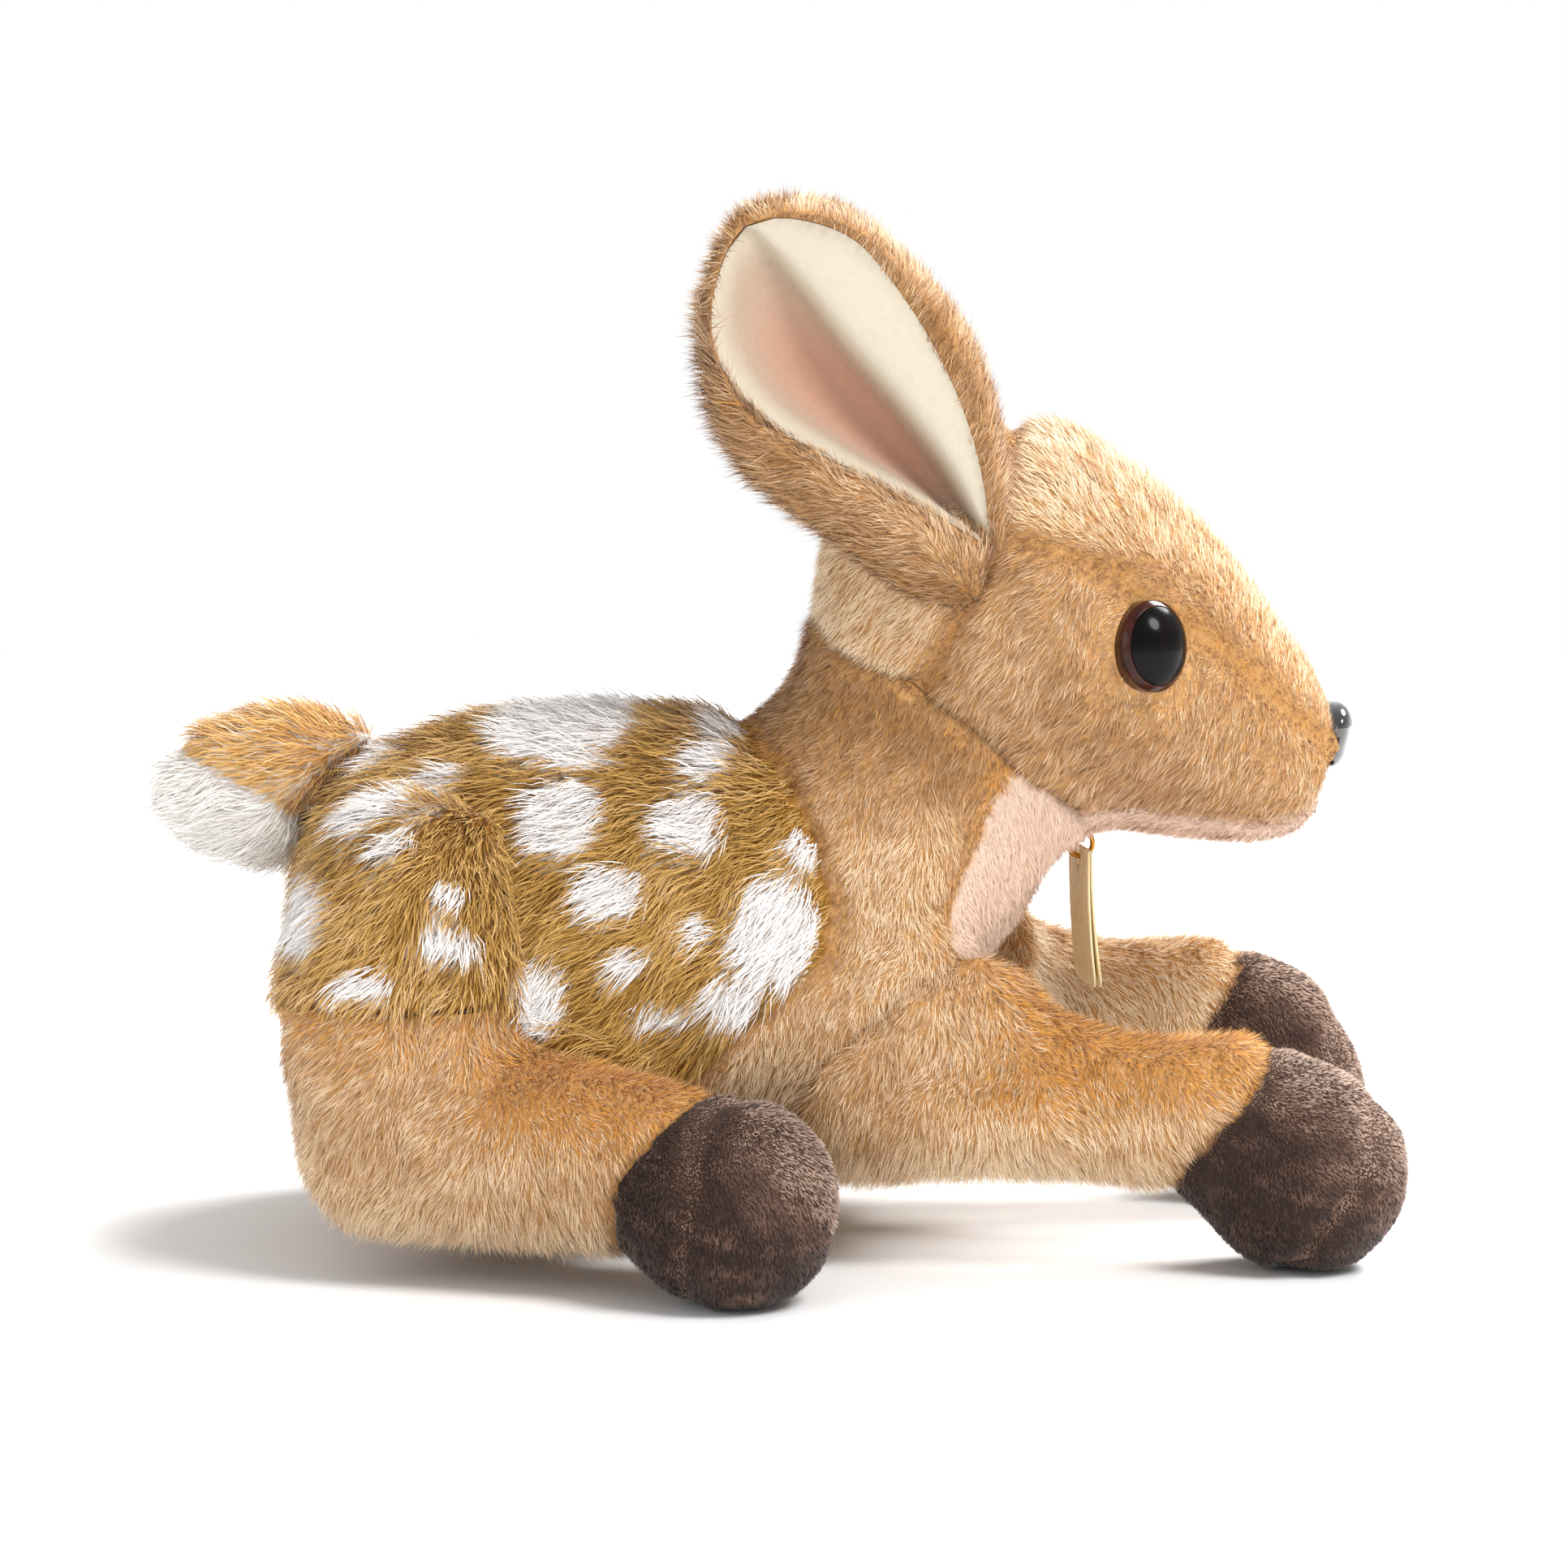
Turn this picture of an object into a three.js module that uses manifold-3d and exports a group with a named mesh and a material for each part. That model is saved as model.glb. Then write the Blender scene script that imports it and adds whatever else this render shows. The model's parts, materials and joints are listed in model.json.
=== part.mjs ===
// A plush fawn lying down, in millimetres.
// +X is the way it faces, +Y is its left side, +Z is up, and the floor is at z = 0.
// The covers are open shells of cloth round separate fillings; the right side is built and mirrored.
import * as THREE from "three";
import { mergeVertices } from "three/addons/utils/BufferGeometryUtils.js";
import loadManifold from "manifold-3d";

const wasm = await loadManifold();
wasm.setup();

// Cloth and clearances
const PLUSH = 4; // backing cloth with its standing pile
const VELOUR = 2.6; // short-pile cloth of the hooves
const LINING = 2; // smooth cloth inside the ears
const CLEAR = 0.4; // between pieces that lie against each other
const SLACK = 0.9; // between a cover and its filling

// Body, from the rump to the shoulders
const BODY_REAR = -113; // where the rump ends
const RUMP_ROUND = 21; // bulge of the rump behind its last full ring
const BODY_LENGTH = 107; // between the first and the last full ring
const BODY_WIDTH = 110;
const BODY_HEIGHT = 124;
const BODY_FRONT_ROUND = 16;
// Along the length: height of the centre over body height, width share, height share
const BODY_PROFILE = [
  { along: 0, centre: 0.48, wide: 0.8, high: 0.85 },
  { along: 0.3, centre: 0.476, wide: 1, high: 1 },
  { along: 0.67, centre: 0.525, wide: 1, high: 0.89 },
  { along: 1, centre: 0.53, wide: 0.84, high: 0.8 },
];
const BELLY_EDGE = 18; // height of the seam round the belly panel
const BELLY_FRONT = 26; // where the belly panel ends under the chest
const SADDLE_FRONT = 9; // foremost point of the seam between saddle and shoulder
const SADDLE_MIDDLE = -62; // where the seam's arc is highest and lowest
const SADDLE_SEAM_HEIGHT = 78; // height of the seam's foremost point
const SADDLE_SEAM_RISE = 57; // from there to the top of the arc

// Chest and neck
const CHEST_X = 6; // centre of the widest chest ring
const CHEST_CENTRE = 60; // its height
const CHEST_DEPTH = 90;
const CHEST_WIDTH = 88;
const CHEST_LEAN = 77; // degrees from the floor
const CHEST_FLOOR = 16; // lowest point of the chest
const CHEST_ROUND = 14; // bulge of the chest below its lowest full ring
const CHEST_LOW_FORWARD = 2; // that ring's centre, in front of the widest one's
const CHEST_LOW_DEPTH = 72;
const CHEST_LOW_WIDTH = 60;
const CHEST_LOW_LEAN = 80; // degrees from the floor
const NECK_X = 31; // centre of the neck seam
const NECK_HEIGHT = 117;
const NECK_DIAMETER = 64;
const NECK_LEAN = 57; // degrees from the floor
const NECK_DOME = 18; // stuffing that bulges through the neck seam
const NECK_PLAY = 1.1; // round that dome, so that the head turns freely
// Ring between the two: shares of the way from the chest's widest ring to the neck's
const THROAT_PROFILE = { forward: 0.68, up: 0.55, deep: 0.25, wide: 0.35, lean: 0.45 };
const BIB_WIDTH = 68;
const BIB_TOP_WIDTH = 48;
const BIB_TOP_DROP = 5; // from the neck seam's centre down to the bib's top
const BIB_BOTTOM_DROP = 30; // from the centre of the widest chest ring down to the bib's bottom
// Shares of the bib's height: where it is widest and where its sides turn in
const BIB_PROFILE = { widest: 0.58, shoulder: 0.83 };
const BIB_START = 14; // in front of the chest's centre, where the bib's cut begins

// Head
const HEAD_LENGTH = 118;
const HEAD_WIDTH = 86;
const HEAD_HEIGHT = 84;
const CROWN_ROUND = 16; // bulge behind the first ring
const MUZZLE_ROUND = 10; // bulge in front of the last ring
// From the neck seam: forward over head length, up over head height, width and height shares, lean
const HEAD_PROFILE = [
  { forward: -0.076, up: 0.31, wide: 0.8, high: 0.82, lean: -3 },
  { forward: 0.144, up: 0.286, wide: 1.01, high: 1, lean: -10 },
  { forward: 0.356, up: 0.168, wide: 0.98, high: 0.82, lean: -22 },
  { forward: 0.559, up: -0.03, wide: 0.68, high: 0.62, lean: -32 },
  { forward: 0.686, up: -0.13, wide: 0.49, high: 0.45, lean: -34 },
];
const GUSSET_SPREAD = 50; // degrees from the top to each seam of the forehead strip
const CHIN_SPREAD = 38; // degrees from the bottom to each seam of the chin
const CROWN_SEAM_AT = 0.13; // place of the seam behind the ears along the head
const CROWN_SEAM_LEAN = -28; // degrees

// Eyes and nose, with shanks locked by washers inside the skin
const EYE_DIAMETER = 20;
const EYE_DOME = 5;
const EYE_SEAT = 2; // how far the cup sinks into the pile
const EYE_ALONG = 0.53; // place along the head
const EYE_ABOVE = 12; // degrees above the head's middle line
const EYE_TURN = 8; // degrees the eye looks further forward than the cheek
const PUPIL_DIAMETER = 15.6;
const PUPIL_SEAT = 1; // height of the cup's floor above the skin
const PUPIL_RINGS = [1, 0.8, 0.55, 0.28]; // of its dome, as shares of its radius
const SHANK_DIAMETER = 5;
const SHANK_LENGTH = 13;
const WASHER_DIAMETER = 14;
const WASHER_THICK = 2;
const WASHER_DROP = 4.8; // below the skin's inner face, which curves away under it
const FITTING_HEADROOM = 8; // cut above the skin round a fitting, past the pile that curves up there
const NOSE_WIDTH = 23;
const NOSE_HEIGHT = 15;
const NOSE_DOME = 4; // height above the skin
const NOSE_RIM = 1.2; // height above the skin where the dome begins
const NOSE_FOOT_ROUND = 0.3;
const NOSE_SEAT = 2.4;
const NOSE_ABOVE = 45; // degrees above the muzzle's axis
const NOSE_CORNERS = 3;
const NOSE_POINTED = 0.1; // how much its outline stands out at the corners

// Ears
const EAR_LENGTH = 93;
const EAR_WIDTH = 58;
const EAR_CUP = 12; // depth of the hollow
const EAR_ALONG = 0.155; // place along the head
const EAR_ABOVE = 24; // degrees above the head's middle line
const EAR_BURIED = 7; // part of the ear below the head's surface before it is cut
const EAR_BACKWARD = 30; // degrees from upright, towards the back
const EAR_OUTWARD = 15; // degrees from upright, to the side
const EAR_OPEN_FORWARD = 20; // degrees the hollow turns from the side to the front
const EAR_BOW = 5; // how far the ear bends back over its length
const EAR_RIM = 0.84; // share of the width that the lining covers
const EAR_LINING_FOOT = 0.06; // share of the length where the lining begins
const EAR_LINING_TIP = 0.93; // share of the length where it ends
const EAR_IN = 5; // degrees the ear folds in
const EAR_OUT = 25; // degrees the ear folds out
const EAR_EDGE_ROUND = 0.85; // how thin the plush gets at the ear's edge
// In equal steps along the length: width share and hollow share
const EAR_PROFILE = [
  { wide: 0.5, deep: 0.8 },
  { wide: 0.78, deep: 1 },
  { wide: 0.97, deep: 1 },
  { wide: 1, deep: 0.85 },
  { wide: 0.88, deep: 0.55 },
  { wide: 0.36, deep: 0.1 },
];

// Legs and hooves
const LEG_DIAMETER = 41;
const HOOF_DIAMETER = 45;
const HOOF_SEAM = 3; // station of the seam between leg and hoof
const HOOF_TIP_ROUND = 21; // bulge in front of the hoof's thickest ring
const SOLE_DEPTH = 11; // of the sole's cap, along the hoof
const FLOOR_DIP = 1.4; // depth by which a hoof is pressed flat on the floor
const SHOULDER_X = 18; // upright axis on which a front leg swings
const SHOULDER_Y = 38;
const SHOULDER_HEIGHT = 41;
const FRONT_HOOF_X = 112;
const FRONT_HOOF_Y = 42;
const FRONT_LEG_OUT = 25; // degrees
// Share of the way to the hoof along, outwards and down, with the thickness share
const FRONT_LEG_PROFILE = [
  { along: 0, out: 0, down: 0, thick: 1.02 },
  { along: 0.29, out: 0.35, down: -0.03, thick: 1 },
  { along: 0.61, out: 0.6, down: 0.11, thick: 0.95 },
  { along: 0.84, out: 0.8, down: 0.46, thick: 0.9 },
];
const HAUNCH_X = -86; // upright axis on which a hind leg swings
const HAUNCH_Y = 52;
const HAUNCH_SEAM = 60; // height of the seam between haunch and hind leg
const HAUNCH_WIDTH = 52;
const HAUNCH_DEPTH = 54;
const HAUNCH_TOP = 104;
const HAUNCH_ROUND = 12;
const HAUNCH_LEAN_IN = 16; // how far its top leans to the body
const HAUNCH_LEAN_FORWARD = 6;
// From its lowest to its highest ring: shares of the way up, of both leans, of the width and of the depth
const HAUNCH_PROFILE = [
  { up: 0, forward: 0, inward: 0, wide: 0.96, deep: 0.96 },
  { up: 0.57, forward: 0.5, inward: 0.4, wide: 1, deep: 1 },
  { up: 1, forward: 1, inward: 1, wide: 0.72, deep: 0.8 },
];
const THIGH_ROUND = 10; // bulge of the thigh at both ends
const HIND_LEG_HEIGHT = 30;
const HIND_HOOF_X = -12;
const HIND_HOOF_Y = 83;
const HIND_LEG_OUT = 30; // degrees
const HIND_LEG_PROFILE = [
  { along: 0, out: 0, down: 0, thick: 1.02 },
  { along: 0.34, out: 0.28, down: 0, thick: 1 },
  { along: 0.63, out: 0.56, down: 0.11, thick: 0.95 },
  { along: 0.816, out: 0.77, down: 0.4, thick: 0.9 },
];
// From the seam to the hoof's thickest ring
const HOOF_PROFILE = [
  { part: 0.5, thick: 0.96 },
  { part: 1, thick: 1 },
];

// Tail
const TAIL_ROOT_X = -92; // upright axis on which the tail wags
const TAIL_ROOT_DROP = 23; // from the body's full height down to the tail's middle line
const TAIL_LENGTH = 42;
const TAIL_WIDTH = 30;
const TAIL_DEPTH = 35;
const TAIL_ROUND = 8;
const TAIL_WAG = 25; // degrees each way
const TAIL_SEAM_AT = 0.62; // place along the tail where the white underside's seam crosses its middle
const TAIL_SEAM_SLOPE = 28; // degrees
const TAIL_PROFILE = [
  { along: 0, wide: 0.7, deep: 0.7 },
  { along: 0.33, wide: 1, deep: 0.98 },
  { along: 0.72, wide: 0.94, deep: 0.98 },
  { along: 1, wide: 0.66, deep: 0.7 },
];

// Hang tag
const TAG_WIDTH = 22;
const TAG_LENGTH = 31;
const TAG_CARD = 0.9; // thickness of one leaf
const TAG_CORNER = 3;
const TAG_HOLE = 4.4;
const TAG_EDGE = 2.4; // from the hole's centre to the top edge
const TAG_OPENING = 4; // degrees between its two leaves
const TAG_TURN = 12; // degrees the tag is turned on its cord
const RING_DIAMETER = 5.6; // to the middle of the wire
const RING_WIRE = 1.2;
const LOOP_DIAMETER = 7; // cord loop, to the middle of the cord
const LOOP_CORD = 1.4;
const LOOP_SEWN = 2.6; // part of the loop inside the bib
const TAG_THROAT = 0.86; // place of the loop along the chest and neck

// Facets: round a form and along it
const OUTER = {
  body: [16, 6],
  neck: [14, 5],
  head: [14, 7],
  limb: [10, 6],
  thigh: [10, 1],
  haunch: [10, 3],
  tail: [10, 4],
};
const INNER = {
  body: [8, 3],
  neck: [8, 3],
  head: [10, 5],
  limb: [6, 4],
  thigh: [6, 1],
  haunch: [6, 2],
  tail: [6, 2],
};
const EAR_FACETS = [6, 7];
const NOSE_FACETS = [14, 1];
const WIRE_FACETS = [6, 14];
const TURNED = 12; // round a turned plastic fitting
const SADDLE_ARC_FACETS = 24;
const BIB_CURVE_FACETS = 4; // in each of its four curves
const TAG_CORNER_FACETS = 4;
const CAP_RINGS = 2;
const CURVE_TENSION = 0.5;
const SURFACE_STEP = 1e-3; // for slopes on a form's surface
const WELD = 1e-3; // points this close are one
const SWEEP_STOPS = 3; // positions of a turning piece that its neighbour makes room for
const FAR = 400; // beyond every part of the toy

// Finishes
const TAN = { color: "#d0a26b", roughness: 0.95 };
const SPOTTED = { color: "#a97b36", roughness: 0.95 };
const PALE = { color: "#dfc2aa", roughness: 0.95 };
const WHITE = { color: "#efeae4", roughness: 0.95 };
const EAR_CLOTH = { color: "#e2d8c4", roughness: 0.8 };
const HOOF_VELOUR = { color: "#4c382e", roughness: 0.95 };
const FIBRE = { color: "#f3f1ea", roughness: 0.95 };
const BROWN_EYE = { color: "#52251a", roughness: 0.15 };
const BLACK_GLOSS = { color: "#0b0908", roughness: 0.1 };
const WHITE_PLASTIC = { color: "#dcdad2", roughness: 0.6 };
const CARD = { color: "#c9b07a", roughness: 0.6 };
const BRASS = { color: "#b0722f", roughness: 0.3, metalness: 0.9 };
const CORD = { color: "#5a3a24", roughness: 0.95 };

const FORWARD = new THREE.Vector3(1, 0, 0);
const LEFT = new THREE.Vector3(0, 1, 0);
const UP = new THREE.Vector3(0, 0, 1);

function vector(x, y, z) {
  return new THREE.Vector3(x, y, z);
}

function radians(degrees) {
  return THREE.MathUtils.degToRad(degrees);
}

function between(from, to, share) {
  return THREE.MathUtils.lerp(from, to, share);
}

// A direction in the upright middle plane, by its angle from the floor
function leaning(degrees) {
  return vector(Math.cos(radians(degrees)), 0, Math.sin(radians(degrees)));
}

// Solids

function solid(geometry) {
  const bare = new THREE.BufferGeometry();
  bare.setAttribute("position", geometry.getAttribute("position"));
  bare.setIndex(geometry.getIndex());
  const welded = mergeVertices(bare, WELD);
  const mesh = new wasm.Mesh({
    numProp: 3,
    vertProperties: new Float32Array(welded.getAttribute("position").array),
    triVerts: new Uint32Array(welded.getIndex().array),
  });
  return new wasm.Manifold(mesh);
}

function geometryOf(shape) {
  const mesh = shape.getMesh();
  const geometry = new THREE.BufferGeometry();
  geometry.setAttribute("position", new THREE.BufferAttribute(Float32Array.from(mesh.vertProperties), 3));
  geometry.setIndex(new THREE.BufferAttribute(Uint32Array.from(mesh.triVerts), 1));
  return geometry;
}

function mirrored(geometry) {
  const copy = geometry.clone().scale(1, -1, 1);
  const index = copy.getIndex();
  for (let i = 0; i < index.count; i += 3) {
    const second = index.getX(i + 1);
    index.setX(i + 1, index.getX(i + 2));
    index.setX(i + 2, second);
  }
  return copy;
}

// Everything on the far side of a plane
function halfSpace(point, direction) {
  const box = new THREE.BoxGeometry(FAR, FAR, FAR).translate(0, 0, FAR / 2);
  const turn = new THREE.Quaternion().setFromUnitVectors(UP, direction.clone().normalize());
  return solid(box.applyQuaternion(turn).translate(point.x, point.y, point.z));
}

function turned(geometry, pivot, axis, degrees) {
  const turn = new THREE.Matrix4().makeRotationAxis(axis, radians(degrees));
  return geometry
    .clone()
    .translate(-pivot.x, -pivot.y, -pivot.z)
    .applyMatrix4(turn)
    .translate(pivot.x, pivot.y, pivot.z);
}

// The room that still pieces take as seen from a piece that turns between two angles
function sweptRoom(geometries, pivot, axis, from, to) {
  let room = null;
  for (let stop = 0; stop < SWEEP_STOPS; stop += 1) {
    const angle = between(from, to, stop / (SWEEP_STOPS - 1));
    for (const geometry of geometries) {
      const shape = solid(turned(geometry, pivot, axis, -angle));
      room = room ? room.add(shape) : shape;
    }
  }
  return room;
}

// A turned fitting: outline from axis to axis, radius and height, standing on its axis +Z
function lathe(outline) {
  const points = outline.map(([radius, height]) => new THREE.Vector2(radius, height));
  return new THREE.LatheGeometry(points, TURNED).rotateX(Math.PI / 2);
}

// Moves a geometry built on +Z to a point of a surface, with +Z along the surface's normal
function seat(geometry, place) {
  const sideways = vector().crossVectors(place.up, place.normal).normalize();
  const upwards = vector().crossVectors(place.normal, sideways);
  const frame = new THREE.Matrix4().makeBasis(sideways, upwards, place.normal).setPosition(place.point);
  return geometry.clone().applyMatrix4(frame);
}

function smoothCurve(points) {
  return new THREE.CatmullRomCurve3(points, false, "catmullrom", CURVE_TENSION);
}

// A stuffed form: rings of given half width and half height along a curve, with rounded ends
class Form {
  constructor(stations, facets, startRound, endRound, outline = () => 1) {
    this.path = smoothCurve(stations.map((s) => s.centre));
    this.sizes = smoothCurve(stations.map((s) => vector(s.halfWidth, s.halfHeight, s.lean ?? 0)));
    this.leans = stations[0].lean !== undefined;
    this.facets = facets;
    this.startRound = startRound;
    this.endRound = endRound;
    this.outline = outline;
  }

  ring(t) {
    const size = this.sizes.getPoint(t);
    const axis = this.leans ? leaning(size.z) : this.path.getTangent(t);
    const side = LEFT.clone().addScaledVector(axis, -LEFT.dot(axis)).normalize();
    const up = vector().crossVectors(axis, side);
    return { centre: this.path.getPoint(t), axis, side, up, halfWidth: size.x, halfHeight: size.y };
  }

  // A ring's point; the ring may be moved along its axis and drawn in for a rounded end
  ringPoint(ring, angle, grow, shift = 0, share = 1) {
    const scale = share * this.outline(angle);
    return ring.centre
      .clone()
      .addScaledVector(ring.axis, shift)
      .addScaledVector(ring.side, (ring.halfWidth + grow) * Math.cos(angle) * scale)
      .addScaledVector(ring.up, (ring.halfHeight + grow) * Math.sin(angle) * scale);
  }

  // A place on the surface: angle is from the left side upwards, in degrees
  place(t, degrees) {
    const angle = radians(degrees);
    const point = this.ringPoint(this.ring(t), angle, 0);
    const onward = this.ringPoint(this.ring(t + SURFACE_STEP), angle, 0).sub(point);
    const around = this.ringPoint(this.ring(t), angle + SURFACE_STEP, 0).sub(point);
    const normal = vector().crossVectors(around, onward).normalize();
    return { point, normal, up: UP };
  }

  // A place on the rounded end: the angle is from the axis upwards, in degrees
  endPlace(degrees) {
    const ring = this.ring(1);
    const along = Math.cos(radians(degrees));
    const upward = Math.sin(radians(degrees));
    const point = ring.centre
      .clone()
      .addScaledVector(ring.axis, this.endRound * along)
      .addScaledVector(ring.up, ring.halfHeight * upward);
    const normal = vector()
      .addScaledVector(ring.axis, along / this.endRound)
      .addScaledVector(ring.up, upward / ring.halfHeight)
      .normalize();
    return { point, normal, up: UP };
  }

  geometry(grow = 0, facets = this.facets) {
    const [sides, steps] = facets;
    const first = this.ring(0);
    const last = this.ring(1);
    const rings = [];
    for (let i = 1; i <= CAP_RINGS; i += 1) {
      const polar = (i / (CAP_RINGS + 1)) * (Math.PI / 2);
      rings.push([first, -(this.startRound + grow) * Math.cos(polar), Math.sin(polar)]);
    }
    for (let i = 0; i <= steps; i += 1) {
      rings.push([this.ring(i / steps), 0, 1]);
    }
    for (let i = CAP_RINGS; i >= 1; i -= 1) {
      const polar = (i / (CAP_RINGS + 1)) * (Math.PI / 2);
      rings.push([last, (this.endRound + grow) * Math.cos(polar), Math.sin(polar)]);
    }
    const points = [first.centre.clone().addScaledVector(first.axis, -(this.startRound + grow))];
    for (const [ring, shift, share] of rings) {
      for (let i = 0; i < sides; i += 1) {
        points.push(this.ringPoint(ring, (i / sides) * 2 * Math.PI, grow, shift, share));
      }
    }
    points.push(last.centre.clone().addScaledVector(last.axis, this.endRound + grow));
    return closedLoft(points, sides, rings.length);
  }

  solid(grow = 0, facets = this.facets) {
    return solid(this.geometry(grow, facets));
  }
}

// Faces over a start point, rings of equal count and an end point
function closedLoft(points, sides, ringCount) {
  const index = [];
  const end = points.length - 1;
  const at = (ring, i) => 1 + ring * sides + (i % sides);
  for (let i = 0; i < sides; i += 1) {
    index.push(0, at(0, i + 1), at(0, i));
    for (let ring = 0; ring + 1 < ringCount; ring += 1) {
      index.push(at(ring, i), at(ring, i + 1), at(ring + 1, i));
      index.push(at(ring, i + 1), at(ring + 1, i + 1), at(ring + 1, i));
    }
    index.push(end, at(ringCount - 1, i), at(ringCount - 1, i + 1));
  }
  const geometry = new THREE.BufferGeometry().setFromPoints(points);
  geometry.setIndex(index);
  return geometry;
}

// Pieces of the scene

const fawn = new THREE.Group();
fawn.name = "fawn";

function pivotGroup(name, pivot) {
  const group = new THREE.Group();
  group.name = name;
  group.position.copy(pivot);
  fawn.add(group);
  return group;
}

function addGeometry(group, name, geometry, finish) {
  const local = geometry.clone().translate(-group.position.x, -group.position.y, -group.position.z);
  local.computeVertexNormals();
  const mesh = new THREE.Mesh(local, new THREE.MeshStandardMaterial(finish));
  mesh.name = name;
  group.add(mesh);
}

function add(group, name, shape, finish) {
  addGeometry(group, name, geometryOf(shape), finish);
}

// Adds a right piece and its mirror image on the left
function addPair(groups, name, shape, finish) {
  const geometry = geometryOf(shape);
  addGeometry(groups.right, `right_${name}`, geometry, finish);
  addGeometry(groups.left, `left_${name}`, mirrored(geometry), finish);
}

function pivotPair(name, pivot) {
  return {
    right: pivotGroup(`right_${name}`, pivot),
    left: pivotGroup(`left_${name}`, pivot.clone().setY(-pivot.y)),
  };
}

const body = pivotGroup("body", vector(0, 0, 0));
const bodyPair = { right: body, left: body };
const belowFloor = halfSpace(vector(0, 0, 0), vector(0, 0, -1));

// Body and neck forms

const bodyForm = new Form(
  BODY_PROFILE.map(({ along, centre, wide, high }) => ({
    centre: vector(BODY_REAR + RUMP_ROUND + along * BODY_LENGTH, 0, centre * BODY_HEIGHT),
    halfWidth: (wide * BODY_WIDTH) / 2,
    halfHeight: (high * BODY_HEIGHT) / 2,
    lean: 0,
  })),
  OUTER.body,
  RUMP_ROUND,
  BODY_FRONT_ROUND,
);

const neckSeam = vector(NECK_X, 0, NECK_HEIGHT);
const neckAxis = leaning(NECK_LEAN);
const lowChest = {
  centre: vector(CHEST_X + CHEST_LOW_FORWARD, 0, CHEST_FLOOR + CHEST_ROUND),
  halfHeight: CHEST_LOW_DEPTH / 2,
  halfWidth: CHEST_LOW_WIDTH / 2,
  lean: CHEST_LOW_LEAN,
};
const wideChest = {
  centre: vector(CHEST_X, 0, CHEST_CENTRE),
  halfHeight: CHEST_DEPTH / 2,
  halfWidth: CHEST_WIDTH / 2,
  lean: CHEST_LEAN,
};
const neckRing = {
  centre: neckSeam,
  halfHeight: NECK_DIAMETER / 2,
  halfWidth: NECK_DIAMETER / 2,
  lean: NECK_LEAN,
};
const throatRing = {
  centre: vector(
    between(CHEST_X, NECK_X, THROAT_PROFILE.forward),
    0,
    between(CHEST_CENTRE, NECK_HEIGHT, THROAT_PROFILE.up),
  ),
  halfHeight: between(wideChest.halfHeight, neckRing.halfHeight, THROAT_PROFILE.deep),
  halfWidth: between(wideChest.halfWidth, neckRing.halfWidth, THROAT_PROFILE.wide),
  lean: between(CHEST_LEAN, NECK_LEAN, THROAT_PROFILE.lean),
};
const neckForm = new Form(
  [lowChest, wideChest, throatRing, neckRing],
  OUTER.neck,
  CHEST_ROUND,
  NECK_DOME,
);

const torsoRoom = [bodyForm.geometry(CLEAR), neckForm.geometry(CLEAR)];

function torso(grow, bodyFacets, neckFacets) {
  return bodyForm.solid(grow, bodyFacets).add(neckForm.solid(grow, neckFacets));
}

// Body covers: saddle, shoulders, bib and belly panel, with one filling inside

function saddleSide(grow) {
  const arc = new THREE.CylinderGeometry(1, 1, FAR, SADDLE_ARC_FACETS)
    .scale(SADDLE_FRONT - SADDLE_MIDDLE + grow, 1, SADDLE_SEAM_RISE + grow)
    .translate(SADDLE_MIDDLE, 0, SADDLE_SEAM_HEIGHT);
  return solid(arc).add(halfSpace(vector(SADDLE_MIDDLE + grow, 0, 0), vector(-1, 0, 0)));
}

function bellySide(grow) {
  const below = halfSpace(vector(0, 0, BELLY_EDGE + grow), vector(0, 0, -1));
  return below.subtract(halfSpace(vector(BELLY_FRONT + grow, 0, 0), vector(1, 0, 0)));
}

function bibSide(grow) {
  const half = BIB_WIDTH / 2 + grow;
  const topHalf = BIB_TOP_WIDTH / 2 + grow;
  const top = NECK_HEIGHT - BIB_TOP_DROP + grow;
  const bottom = CHEST_CENTRE - BIB_BOTTOM_DROP - grow;
  const widest = between(bottom, top, BIB_PROFILE.widest);
  const turnIn = between(bottom, top, BIB_PROFILE.shoulder);
  const shape = new THREE.Shape();
  shape.moveTo(topHalf, top);
  shape.quadraticCurveTo(half, turnIn, half, widest);
  shape.quadraticCurveTo(half, bottom, 0, bottom);
  shape.quadraticCurveTo(-half, bottom, -half, widest);
  shape.quadraticCurveTo(-half, turnIn, -topHalf, top);
  const cut = new THREE.ExtrudeGeometry(shape, {
    depth: FAR,
    bevelEnabled: false,
    curveSegments: BIB_CURVE_FACETS,
  });
  const facing = new THREE.Matrix4().makeBasis(LEFT, UP, FORWARD);
  return solid(cut.applyMatrix4(facing).translate(CHEST_X + BIB_START - grow, 0, 0));
}

const neckOpening = seat(
  new THREE.CylinderGeometry(1, 1, FAR, OUTER.neck[0])
    .scale(NECK_DIAMETER / 2 - PLUSH, 1, NECK_DIAMETER / 2 - PLUSH)
    .rotateX(Math.PI / 2)
    .translate(0, 0, FAR / 2),
  { point: neckSeam, normal: neckAxis, up: LEFT },
);
const torsoSkin = torso(0, OUTER.body, OUTER.neck)
  .subtract(torso(-PLUSH, INNER.body, INNER.neck))
  .subtract(solid(neckOpening))
  .subtract(belowFloor);
const shoulderSkin = torsoSkin
  .subtract(saddleSide(CLEAR))
  .subtract(bellySide(CLEAR))
  .subtract(bibSide(CLEAR))
  .subtract(halfSpace(vector(0, -CLEAR / 2, 0), LEFT));
const bibSkin = torsoSkin.intersect(bibSide(0)).subtract(saddleSide(CLEAR)).subtract(bellySide(CLEAR));

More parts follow.
